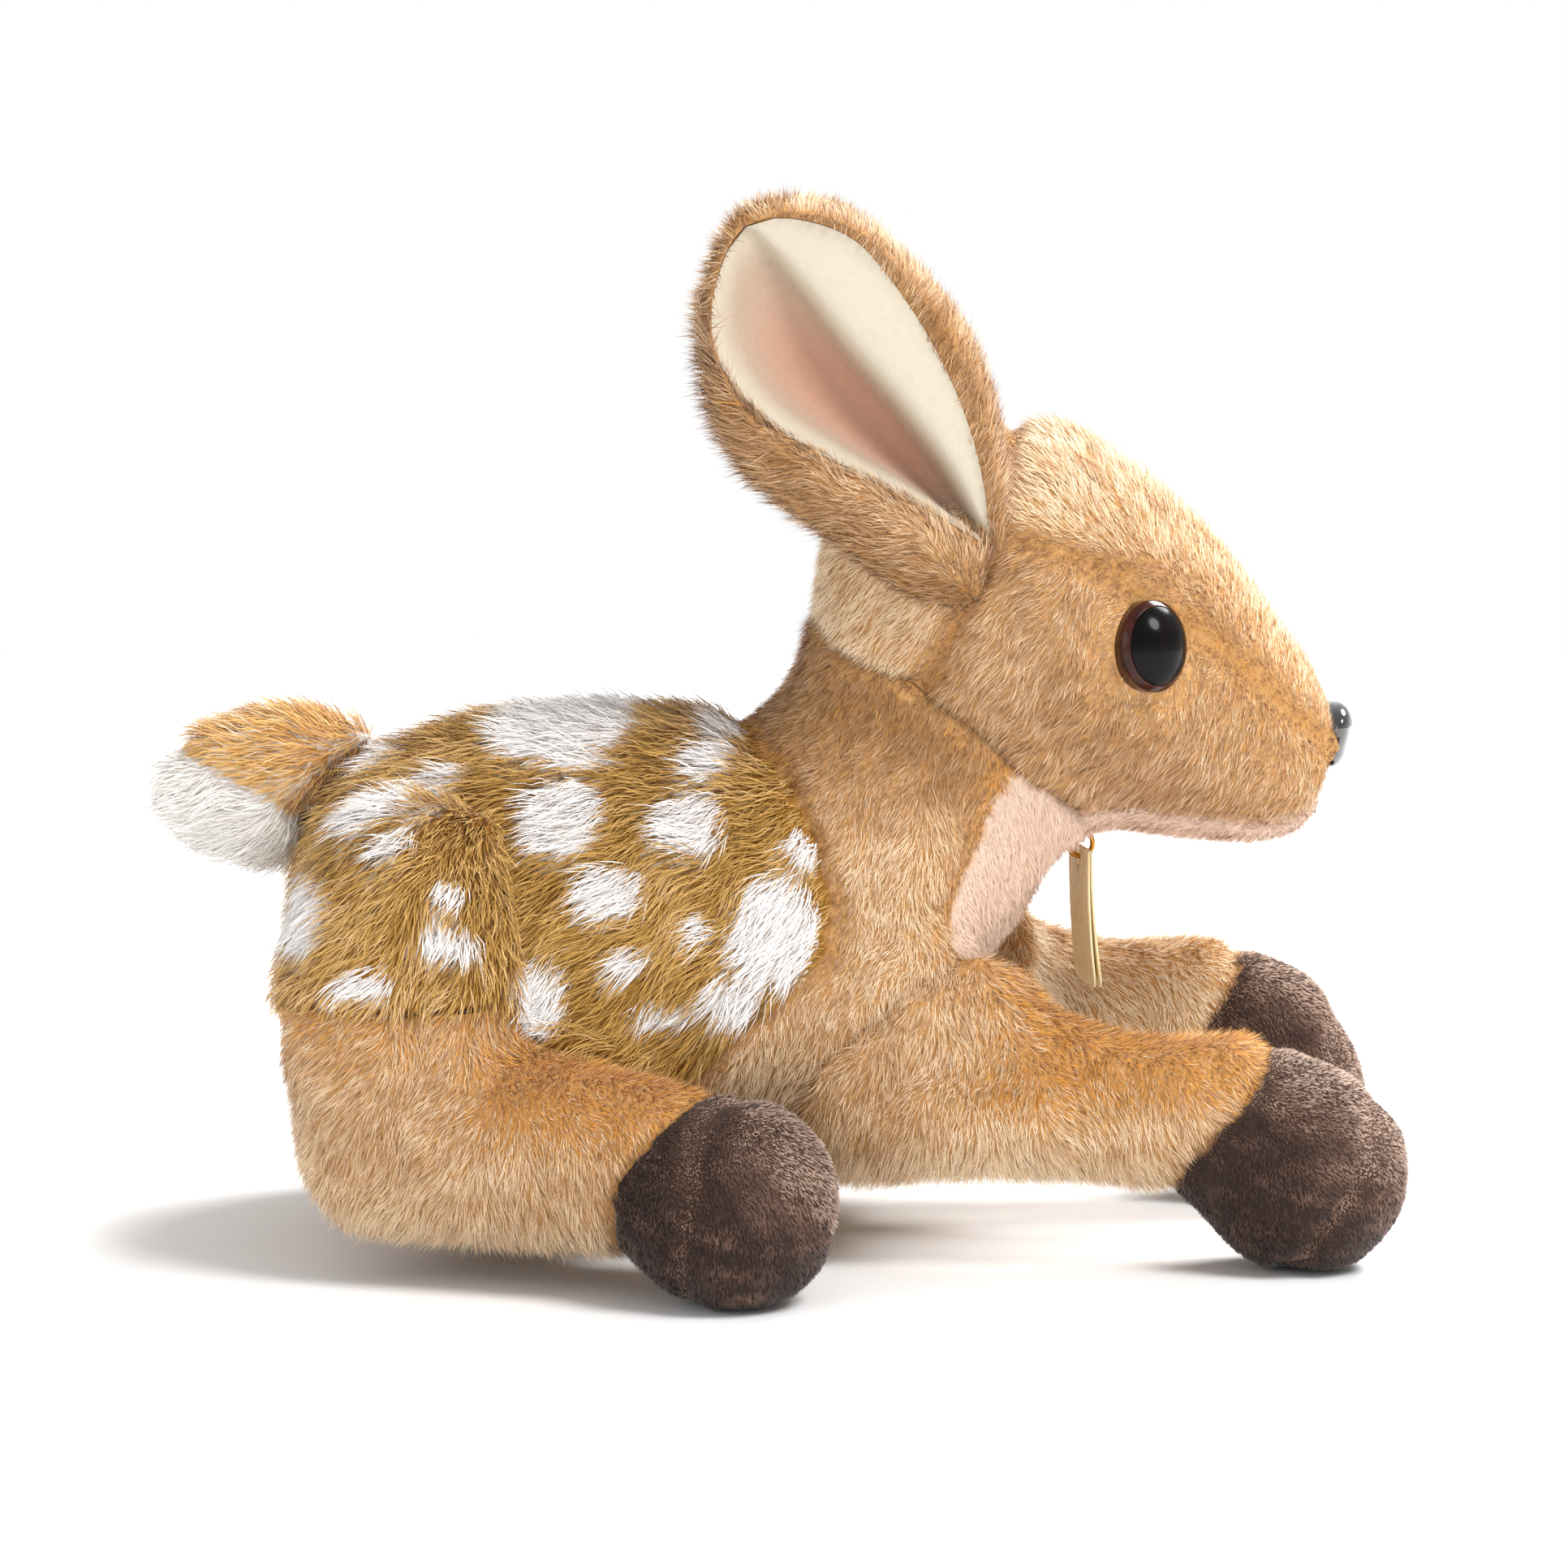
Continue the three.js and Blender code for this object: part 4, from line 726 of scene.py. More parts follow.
def form_over(names):
    """A smooth closed mesh over CAD nodes, of about the same size."""
    mesh = with_modifier(make_object("block", *joined_nodes(names)), "REMESH", mode="VOXEL", voxel_size=VOXEL)
    points, edges = points_of(mesh), edges_of(mesh)
    for _ in range(SMOOTH_ROUNDS):
        points = pulled(pulled(points, edges, SMOOTH_IN), edges, SMOOTH_OUT)
    move_points(mesh, points)
    return mesh


def nearest(points, tree_points, triangles):
    """The nearest place on a surface to each point, its face, and the distance."""
    tree = BVHTree.FromPolygons(tree_points.tolist(), triangles.tolist())
    found = [tree.find_nearest(point) for point in points.tolist()]
    places, _, faces, distances = zip(*found)
    return np.array(places), np.array(faces), np.array(distances)


def weld(skins):
    """Joins the skins as one stuffed form would: creases fill, and what juts out sideways sinks."""
    mesh = form_over([name for skin in skins for name in skin.nodes])
    before, edges, triangles = points_of(mesh), edges_of(mesh), triangles_of(mesh)
    outward = normals_of(mesh)
    near = np.array([nearest(before, *joined_nodes(skin.nodes))[2] for skin in skins])
    order = near.argsort(axis=0)[:2]
    second = np.take_along_axis(near, order, axis=0)[1]
    reach = np.array([skin.reach for skin in skins])[order].min(axis=0)
    pull = WELD_PULL * smooth_step(*WELD_FADE, second / reach)[:, None]
    points = before
    for _ in range(WELD_ROUNDS):
        points = pulled(points, edges, pull)
    change = points - before
    sideways = smooth_step(*WELD_UPWARD, outward[:, 2]) * smooth_step(*WELD_FORWARD, outward[:, 0])
    change = change * np.where((change * outward).sum(axis=1) > 0, 1, sideways)[:, None]
    for skin in skins:
        old = points_of(skin.mesh)
        place, face, distance = nearest(old, before, triangles)
        share = smooth_step(WELD_DEPTH, WELD_DEPTH / 2, distance)[:, None]
        move = change[triangles[face]].mean(axis=1) * share
        for _ in range(WELD_EVEN_ROUNDS):
            move = pulled(move, edges_of(skin.mesh), SMOOTH_IN)
        move = move + (place - old) * smooth_step(WELD_CLOSE, WELD_CLOSE / 2, distance)[:, None]
        move_points(skin.mesh, old + move)


def puffed(mesh, seam):
    """Points of a skin after a short cloth simulation under pressure, held at its seams."""
    obj = show("puffed", mesh.copy())
    group = obj.vertex_groups.new(name="seams")
    group.add(np.flatnonzero(seam < PUFF_PIN).tolist(), 1.0, "REPLACE")
    cloth = obj.modifiers.new("Cloth", "CLOTH")
    settings = cloth.settings
    settings.quality = PUFF_QUALITY
    settings.tension_stiffness = PUFF_STIFFNESS
    settings.compression_stiffness = PUFF_STIFFNESS
    settings.shear_stiffness = PUFF_SHEAR
    settings.use_pressure = True
    settings.uniform_pressure_force = PUFF_PRESSURE
    settings.effector_weights.gravity = 0
    settings.vertex_group_mass = "seams"
    cloth.point_cache.frame_start = 1
    cloth.point_cache.frame_end = PUFF_FRAMES
    scene = bpy.context.scene
    for number in range(1, PUFF_FRAMES + 1):
        scene.frame_set(number)
    evaluated = obj.evaluated_get(bpy.context.evaluated_depsgraph_get())
    old = points_of(mesh)
    move = points_of(evaluated.data) - old
    size = np.linalg.norm(move, axis=1, keepdims=True)
    bpy.data.objects.remove(obj)
    scene.frame_set(1)
    return old + move * np.minimum(1, PUFF_MOST / np.maximum(size, 1e-9))


def panel_kind(panel):
    """The name of a panel without its side, as the tables above use it."""
    for kind in FLOWS:
        if panel.endswith(kind):
            return kind
    return panel


def pile_of(panel):
    return PANEL_PILES.get(panel_kind(panel), "tan")


def spot_share(points):
    """How white the plush is at points, from 0 to 1."""
    shift = np.where(points[:, 1] > 0, FAR_SIDE_SHIFT, 0)
    white = np.zeros(len(points))
    for x, z, half_length, half_height, tilt in SPOTS:
        across = points[:, 0] - shift - x * MM
        upward = points[:, 2] - z * MM
        turn = math.radians(tilt)
        along = (across * math.cos(turn) + upward * math.sin(turn)) / (half_length * SPOT_SIZE * MM)
        over = (upward * math.cos(turn) - across * math.sin(turn)) / (half_height * SPOT_SIZE * MM)
        reach = (np.abs(along) ** SPOT_SQUARE + np.abs(over) ** SPOT_SQUARE) ** (1 / SPOT_SQUARE)
        white = np.maximum(white, smooth_step(1 + SPOT_EDGE, 1 - SPOT_EDGE, reach))
    return white


# Colours of the backing cloth below each pile, darker than the pile's tips as painted shade under the pile
CLOTH_COLOURS = {
    "tan": linear(196, 148, 94),
    "saddle": linear(150, 104, 42),
    "pale": linear(224, 196, 176),
    "white": linear(232, 222, 210),
    "under": linear(190, 146, 96),
    "velour": linear(70, 52, 44),
}


def tag_distance(points):
    return np.linalg.norm(points - np.array(joints["tag_swing"]["pos_m"]), axis=1)


def panel_growth(cover, points):
    """How much further than its CAD piece a panel reaches at points."""
    if cover == "head_gusset":
        return GUSSET_WIDER
    if cover.endswith("shoulder_panel"):
        return SHOULDER_LOWER * smooth_step(*SHOULDER_HEIGHTS, points[:, 2])
    if cover.endswith("sole"):
        return SOLE_WIDER * (HIND_SOLE if "hind" in cover else 1)
    if cover.endswith("leg_hoof"):
        low = HOOF_SLANT * smooth_step(*HOOF_SLANT_HEIGHTS, points[:, 2])
        return low - HOOF_TOP_SHORT * ("hind" in cover)
    return 0


def chest_slope(points):
    """How far the chest goes back at points of the torso."""
    share = smooth_step(*CHEST_HEIGHTS, points[:, 2]) * smooth_step(*CHEST_FRONTS, points[:, 0])
    return CHEST_BACK * share * smooth_step(*CHEST_SIDES, np.abs(points[:, 1]))


def head_relief(points, panels):
    """How deep the head's cloth lies beside its pile's own depth."""
    x = points[:, 0]
    sink = MUZZLE_SINK * smooth_step(MUZZLE_FROM, MUZZLE_TO, x)
    sink = sink + EYE_SINK * smooth_step(*EYE_REACH, eye_distance(points))
    sink = sink + NOSE_SINK * smooth_step(*NOSE_REACH, np.linalg.norm(points - NOSE_POINT, axis=1))
    sink = sink - FOREHEAD_RISE * (panels == "head_gusset") * smooth_step(MUZZLE_TO, FOREHEAD_TO, x)
    return sink - CHIN_DROP * (panels == "chin_panel")


def seam_distance(distances):
    """How far points are from the line where their nearest and next panel meet."""
    first, second = np.partition(distances, 1, axis=0)[:2]
    return second - first


class Skin:
    """One body's stuffed skin, with the distance to each of its panels at each point."""

    def __init__(self, body, covers, fillings, helpers=(), reach=WELD_FRONT):
        self.body = body
        self.reach = reach
        self.covers = covers
        self.fillings = fillings
        self.nodes = [*covers, *fillings, *helpers]
        self.mesh = form_over(self.nodes)

    def fill_out(self, joins):
        """Fills the skin out, makes it finer and lays the cloth below the pile's tips."""
        points = points_of(self.mesh)
        distances = np.array([nearest(points, *joined_nodes([cover]))[2] for cover in self.covers])
        beside = np.full(len(points), FAR_AWAY)
        rise = np.zeros(len(points))
        for other, joint in joins:
            gap = nearest(points, points_of(other.mesh), triangles_of(other.mesh))[2]
            most = (TORSO_RISES if self is torso else LIMB_RISES)[joint]
            rise = rise + most * smooth_step(*JOIN_REACH, gap)
            if joint == "neck":
                beside = gap
        seam = np.partition(distances, 1, axis=0)[1]
        move_points(self.mesh, puffed(self.mesh, seam))
        self.carry([*distances, rise, beside])
        self.panel = self.distances.argmin(axis=0)
        self.sculpt()
        self.normals = normals_of(self.mesh)
        self.triangles = triangles_of(self.mesh)

    def carry(self, rows):
        """Makes the mesh finer and takes the distances to its panels and its neighbour along."""
        names = [*self.covers, "rise", "beside"]
        for name, row in zip(names, rows):
            set_attribute(self.mesh, name, "FLOAT", row)
        self.mesh = with_modifier(show("coarse", self.mesh), "SUBSURF", levels=1)
        self.points = points_of(self.mesh)
        finer = np.empty((len(names), len(self.points)))
        for row, name in zip(finer, names):
            self.mesh.attributes[name].data.foreach_get("value", row)
            self.mesh.attributes.remove(self.mesh.attributes[name])
        self.distances, self.rise, self.beside = finer[:-2], finer[-2], finer[-1]
        for cover, row in zip(self.covers, self.distances):
            row -= panel_growth(cover, self.points)

    def sculpt(self):
        """Lays the cloth below the pile's tips, with grooves along its seams."""
        points = self.points
        seam = seam_distance(self.distances)
        piles = [PILES[pile_of(cover)] for cover in self.covers]
        sink = np.array([pile["sink"] for pile in piles])[self.panel] * MM
        depth = np.array([pile["seam"] for pile in piles])[self.panel] * MM
        sink = sink + depth * np.exp(-((seam / SEAM_WIDTH) ** 2)) - self.rise
        sink = sink + TAG_ROOM * smooth_step(*TAG_REACH, tag_distance(points))
        if self is torso:
            sink = sink + BACK_SINK * np.clip(normals_of(self.mesh)[:, 2], 0, 1)
        if self is head:
            sink = sink + head_relief(points, np.array(self.covers)[self.panel])
        points = points - normals_of(self.mesh) * sink[:, None]
        if self is torso:
            points[:, 0] -= chest_slope(points)
        if self.body == "left_front_leg":
            points[:, 2] += FAR_LEG_RISE * smooth_step(*FAR_LEG_HEIGHTS, points[:, 2])
        points[:, 2] = np.maximum(points[:, 2], FLOOR_GAP)
        move_points(self.mesh, points)
        self.points = points

    def paint(self):
        """Colours the backing cloth like the pile on it."""
        colours = np.array([CLOTH_COLOURS[pile_of(cover)] for cover in self.covers])[self.panel]
        spotted = np.array([pile_of(cover) == "saddle" for cover in self.covers])[self.panel]
        white = (spot_share(self.points) * spotted)[:, None]
        colours = colours * (1 - white) + np.array(CLOTH_COLOURS["white"]) * white
        # painted light: the velour cloth is lighter where it looks forward and up
        velour = np.array([pile_of(cover) == "velour" for cover in self.covers])[self.panel]
        colours[velour] *= (VELOUR_CLOTH_PAINTED_LIGHT[0] + VELOUR_CLOTH_PAINTED_LIGHT[1] * velour_painted_light(self.normals[velour]))[:, None]
        set_attribute(self.mesh, "cloth", "FLOAT_COLOR", colours)

    def make(self):
        self.paint()
        self.mesh.polygons.foreach_set("use_smooth", np.full(len(self.mesh.polygons), True))
        obj = show(f"{self.body}_stuffed", self.mesh)
        finish_piece(obj, self.body, backing, self.fillings)


# Pile

def scattered(points, normals, triangles, density):
    """Random places on triangles: their points, normals, triangle numbers and corner weights."""
    a, b, c = (points[triangles[:, i]] for i in range(3))
    areas = np.linalg.norm(np.cross(b - a, c - a), axis=1) / 2
    weights = areas * density
    count = int(weights.sum() / MM ** 2)
    chosen = random.choice(len(triangles), count, p=weights / weights.sum())
    u = np.sqrt(random.random(count))
    v = random.random(count)
    corners = np.stack([1 - u, u * (1 - v), u * v], axis=1)
    at = triangles[chosen]
    places = np.einsum("ij,ijk->ik", corners, points[at])
    facing = unit(np.einsum("ij,ijk->ik", corners, normals[at]))
    return places, facing, at, corners


def tuft_centres(places, cell):
    """For each place, the mean of the places that share its cell of a jittered grid."""
    jitter = np.stack([waves(places, cell * 3, seed) for seed in (1, 2, 3)], axis=1) * cell * 0.7
    keys = np.floor((places + jitter) / cell).astype(np.int64)
    _, group = np.unique(keys, axis=0, return_inverse=True)
    group = group.ravel()
    size = np.bincount(group)
    centres = np.stack([np.bincount(group, places[:, i]) / size for i in range(3)], axis=1)
    return centres[group], group


def strands(name, places, facing, flow, kind, tone, length_share):
    """A mesh of fine blades, with the map that colours them and normals that follow the cloth."""
    count = len(places)
    sizes = PILES[kind]
    flat = unit(flow - facing * (flow * facing).sum(axis=1, keepdims=True))
    sway = unit(np.cross(facing, flat)) * (SWAY * waves(places, SWAY_SIZE, 11))[:, None]
    flat = unit(flat + sway + random.normal(0, STRAY, (count, 3)))
    lift = np.radians(sizes["lift"] + random.normal(0, LIFT_STRAY, count))[:, None]
    first = unit(facing * np.sin(lift) + flat * np.cos(lift))
    second = unit(facing * np.sin(lift * TIP_LIFT) + flat * np.cos(lift * TIP_LIFT))
    length = (sizes["long"] * MM * length_share * random.uniform(*LENGTHS, count))[:, None]
    middle = places + first * length * 0.5
    tips = middle + second * length * 0.5
    centres, group = tuft_centres(places, sizes["cell"] * MM)
    tuft_tip = centres + (first + second) / 2 * length
    pull = sizes["tuft"] * random.uniform(0.5, 1, (count, 1))
    middle = middle + (tuft_tip - tips) * pull * BEND_PULL
    tips = tips + (tuft_tip - tips) * pull
    turn = random.uniform(-1.0, 1.0, (count, 1))
    side = unit(np.cross(tips - places, facing))
    side = unit(side * np.cos(turn) + facing * np.sin(turn))
    half = side * (sizes["wide"] * MM / 2 * random.uniform(*WIDTHS, (count, 1)))
    rows = [(places, 1.0, 0.01)]
    if sizes["bends"]:
        rows.append((middle, BEND_WIDTH, 0.5))
    points, across, along = [], [], []
    for centre, width, share in rows:
        points += [centre - half * width, centre + half * width]
        across += [-width, width]
        along += [share, share]
    points = np.stack([*points, tips], axis=1)
    points[..., 2] = np.maximum(points[..., 2], FLOOR_GAP)
    corners = points.shape[1]
    corner = np.arange(count)[:, None] * corners
    faces = [(0, 1, 3), (0, 3, 2), (2, 3, 4)] if sizes["bends"] else [(0, 1, 2)]
    triangles = np.concatenate([corner + np.array(face) for face in faces])
    obj = make_object(name, points.reshape(-1, 3), triangles)
    lay_map(obj, tone_of_tufts(tone, group, kind), [*across, 0], [*along, 0.99])
    bent = np.cross(side, tips - places) / length
    normal = unit(facing + NORMAL_BEND * bent + random.normal(0, NORMAL_STRAY, (count, 3)))
    obj.data.normals_split_custom_set_from_vertices(np.repeat(normal, corners, axis=0))
    return obj


def tone_of_tufts(tone, group, kind):
    """Adds a little of each tuft's and each strand's own shade; white strands stay white."""
    own = random.normal(0, STRAND_SHADE, len(tone)) * (VELOUR_SHADE if kind == "velour" else 1)
    tuft = random.normal(0, TUFT_SHADE, group.max() + 1)[group]
    shaded = tone + own + tuft
    if kind not in ("saddle", "white"):
        return np.clip(shaded, 0.01, 0.99)
    return np.where(tone > WHITE_FROM, np.clip(tone + own, WHITE_FROM, 0.99), np.clip(shaded, 0.01, BROWN_TO))


def lay_map(obj, tone, across, along):
    """Tone across the map and the place along the strand up the map."""
    u = np.clip(tone[:, None] + np.array(across) * TONE_WIDTH / 2, 0, 1)
    v = np.broadcast_to(np.array(along) * MAP_DEPTH, u.shape)
    uv = np.stack([u, v], axis=-1).reshape(-1, 2)
    corners = np.empty(len(obj.data.loops), np.int32)
    obj.data.loops.foreach_get("vertex_index", corners)
    layer = obj.data.uv_layers.new(name=MAP_NAME)
    layer.data.foreach_set("uv", uv[corners].astype(np.float32).ravel())


PANEL_MATERIALS = {
    "tan": (tan_pile, "plush_tan"),
    "under": (tan_pile, "plush_tan"),
    "saddle": (saddle_pile, "plush_spotted"),
    "pale": (pale_pile, "plush_pale"),
    "white": (tail_pile, "plush_white"),
    "velour": (hoof_pile, "hoof_velour"),
}


def haunch_fade(places):
    """How far the long brown pile has turned into the hind leg's short tan pile."""
    return smooth_step(*HAUNCH_FADE, places[:, 2]) * smooth_step(*HAUNCH_FRONTS, places[:, 0])


def velour_painted_light(facing):
    """Painted light on velour: how much a place looks forward and up, towards the light."""
    return np.clip(facing @ PAINTED_LIGHT_FACING, 0, 1) ** PAINTED_LIGHT_POWER


def pile_tone(cover, kind, places, tips, facing, seam):
    """The tone of each strand on its material's map."""
    panel = panel_kind(cover)
    broad = waves(places, BROAD_PATCH, 5)
    fine = waves(places, FINE_PATCH, 6)
    if panel in TAN_TONES:
        tone = TAN_TONES[panel] + TAN_PATCHES[0] * broad + TAN_PATCHES[1] * fine
        return tan_tone(cover, panel, tone, places, np.clip(facing[:, 2], 0, 1), seam)
    middle, broadly, finely, lowest, highest = TONES[panel]
    tone = middle + broadly * broad + finely * fine
    if kind == "saddle":
        # painted light: paler where the pile looks up, darker where it looks down
        tone = tone + SADDLE_TOP_PAINTED_LIGHT * facing[:, 2]
        tone = tone + HAUNCH_PALER * (random.random(len(places)) < HAUNCH_MIX * haunch_fade(places))
        white = spot_share(tips) + random.normal(0, SPOT_STRAY, len(places)) > 0.5
        return np.where(white, WHITE_TONE, np.clip(tone, lowest, highest))
    if kind == "velour":
        stitched = STITCH_PALER * np.exp(-((seam / STITCH_WIDTH) ** 2))
        # painted light: velour strands are paler where they look forward and up
        tone = tone + VELOUR_PAINTED_LIGHT * velour_painted_light(facing) + stitched
    return np.clip(tone, lowest, highest)


def tan_tone(cover, panel, tone, places, top, seam):
    """The tone of tan strands, darker along the seams, with painted light on tops and on the far front leg,
    and painted shade below the head.
    """
    tone = np.maximum(tone - SEAM_SHADE * np.exp(-((seam / SEAM_SHADE_WIDTH) ** 2)), SEAM_DARKEST)
    if panel == "leg_cover":
        side, end = cover.split("_")[:2]
        # painted light: the far front leg's pile is paler
        paler = FAR_LEG_PAINTED_LIGHT if (side, end) == ("left", "front") else 0
        golden = TOP_GOLDEN[side] * np.minimum(TOP_GOLDEN_REACH * top, 1)
        golden = golden * smooth_step(*LEG_STARTS[end], places[:, 0])
        if end == "hind":
            thigh = smooth_step(*THIGH_FADE, places[:, 2]) * smooth_step(*HAUNCH_FRONTS, places[:, 0])
            golden = np.maximum(golden, THIGH_MIX * thigh)
        return np.where(random.random(len(places)) < golden, GOLDEN, tone + paler)
    if panel == "cheek":
        tone = tone + MUZZLE_PALER * smooth_step(MUZZLE_FROM, MUZZLE_TO, places[:, 0])
    if panel == "head_gusset":
        strip = smooth_step(BROW_FROM, BROW_TO, places[:, 0]) * smooth_step(BROW_WIDE, 0, seam)
        tone = tone - BROW_SHADE * strip
    if panel == "shoulder_panel":
        # painted shade: darker up towards the neck, under the head
        tone = tone - NECK_PAINTED_SHADE * smooth_step(*NECK_HEIGHTS, places[:, 2])
    # painted light: paler where the pile looks up
    return tone + TAN_TOP_PAINTED_LIGHT * top


def pile_flow(cover, places):
    """The way the pile lies; at a leg's root it runs on from the torso's pile."""
    panel = panel_kind(cover)
    flow = np.broadcast_to(np.array(FLOWS[panel], float), places.shape)
    if panel != "leg_cover":
        return flow
    end = cover.split("_")[1]
    own = smooth_step(*LEG_STARTS[end], places[:, 0])
    if end == "hind":
        own = own * smooth_step(THIGH_FADE[1], THIGH_FADE[0], places[:, 2])
    return np.array(ROOT_FLOWS[end]) * (1 - own)[:, None] + flow * own[:, None]


def grow_pile(skin):
    """One piece of pile on each panel of a skin."""
    most = max(PILES[pile_of(cover)]["dense"] for cover in skin.covers)
    places, facing, at, corners = scattered(skin.points, skin.normals, skin.triangles, most)
    distances = (skin.distances[:, at] * corners).sum(axis=2)
    owner = distances.argmin(axis=0)
    seams = np.minimum(seam_distance(distances), (skin.beside[at] * corners).sum(axis=1) + NECK_SEAM_EASE)
    kept = clear_of_fittings(places)
    chance = random.random(len(places))
    for number, cover in enumerate(skin.covers):
        kind = pile_of(cover)
        panel = panel_kind(cover)
        mine = kept & (owner == number) & (chance < PILES[kind]["dense"] / most)
        roots, outward, seam = places[mine], facing[mine], seams[mine]
        flow = pile_flow(cover, roots)
        at_seam = SEAM_PILE + (1 - SEAM_PILE) * smooth_step(0, SEAM_REACH, seam)
        share = pile_length(panel, roots, outward) * at_seam
        tips = roots + unit(flow) * (PILES[kind]["long"] * MM * share * SPOT_PLACE)[:, None]
        tone = pile_tone(cover, kind, roots, tips, outward, seam)
        obj = strands(f"{cover}_pile", roots, outward, flow, kind, tone, share)
        material, slot = PANEL_MATERIALS[kind]
        finish_piece(obj, skin.body, material, [cover])


def eye_distance(places):
    return np.minimum(*(np.linalg.norm(places - eye["point"], axis=1) for eye in eyes.values()))


def pile_length(panel, places, facing):
    """Share of the full pile length at places on a panel."""
    if panel in ("cheek", "head_gusset"):
        open_eye = EYE_PILE + (1 - EYE_PILE) * smooth_step(*reversed(EYE_REACH), eye_distance(places))
        return (1 - MUZZLE_SHORTER * smooth_step(MUZZLE_FROM, MUZZLE_TO, places[:, 0])) * open_eye
    if panel == "leg_cover":
        return 1 + UNDER_LEG_LONGER * smooth_step(*UNDER_LEG, facing[:, 2])
    if panel in ("saddle", "haunch"):
        return 1 - HAUNCH_SHORTER * haunch_fade(places)
    return np.ones(len(places))


# Places of the eyes, from the CAD pupils

def fitting_place(node, outward):
    """Centre of a round fitting's face and the way it looks."""
    points = points_of(frame["nodes"][node].data)
    centre = points.mean(axis=0)
    _, _, ways = np.linalg.svd(points - centre)
    facing = ways[2] * np.sign(ways[2] @ outward)
    top = ((points - centre) @ facing).max()
    return {"point": centre + facing * (top - EYE_DOME - EYE_SEAT), "facing": facing, "across": EYE_NARROW}


eyes = {
    "right": fitting_place("right_pupil", np.array([0.0, -1, 0])),
    "left": fitting_place("left_pupil", np.array([0.0, 1, 0])),
}

# Bodies and their skins

torso = Skin(
    "torso",
    ["saddle", "belly_panel", "right_shoulder_panel", "left_shoulder_panel", "chest_bib",
     "right_haunch", "left_haunch"],
    ["body_filling", "right_haunch_filling", "left_haunch_filling"],
)
head = Skin(
    "head",
    ["head_back", "head_gusset", "right_cheek", "left_cheek", "chin_panel"],
    ["head_filling"],
    ["right_eye", "left_eye", "right_pupil", "left_pupil", "nose"],
    reach=WELD_NECK,
)
tail = Skin("tail", ["tail_top", "tail_underside"], ["tail_filling"])
legs = [
    Skin(
        f"{side}_{end}_leg",
        [f"{side}_{end}_leg_{part}" for part in ("cover", "hoof", "sole")],
        [f"{side}_{end}_leg_filling"],
        reach=WELD_FRONT if end == "front" else WELD_HIND,
    )
    for side in ("right", "left")
    for end in ("front", "hind")
]


def clear_of_fittings(places):
    """Away from the eyes, the nose and the tag's ring."""
    near_nose = np.linalg.norm((places - NOSE_POINT) * NOSE_OPEN, axis=1)
    clear = (eye_distance(places) > EYE_DIAMETER / 2 * EYE_OPEN) & (near_nose > NOSE_HEIGHT / 2)
    return clear & (tag_distance(places) > TAG_CLEAR)


weld([torso, head, *legs])
limbs = [(leg, leg.body.split("_")[1]) for leg in legs]
joins = {torso: [(head, "neck"), *limbs], head: [(torso, "neck")], tail: []}
joins.update({leg: [(torso, joint)] for leg, joint in limbs})
for skin in (torso, head, tail, *legs):
    skin.fill_out(joins[skin])
    grow_pile(skin)
    skin.make()


# Ears

def turn_about(axis, degrees):
    return np.array(Matrix.Rotation(math.radians(degrees), 3, axis))


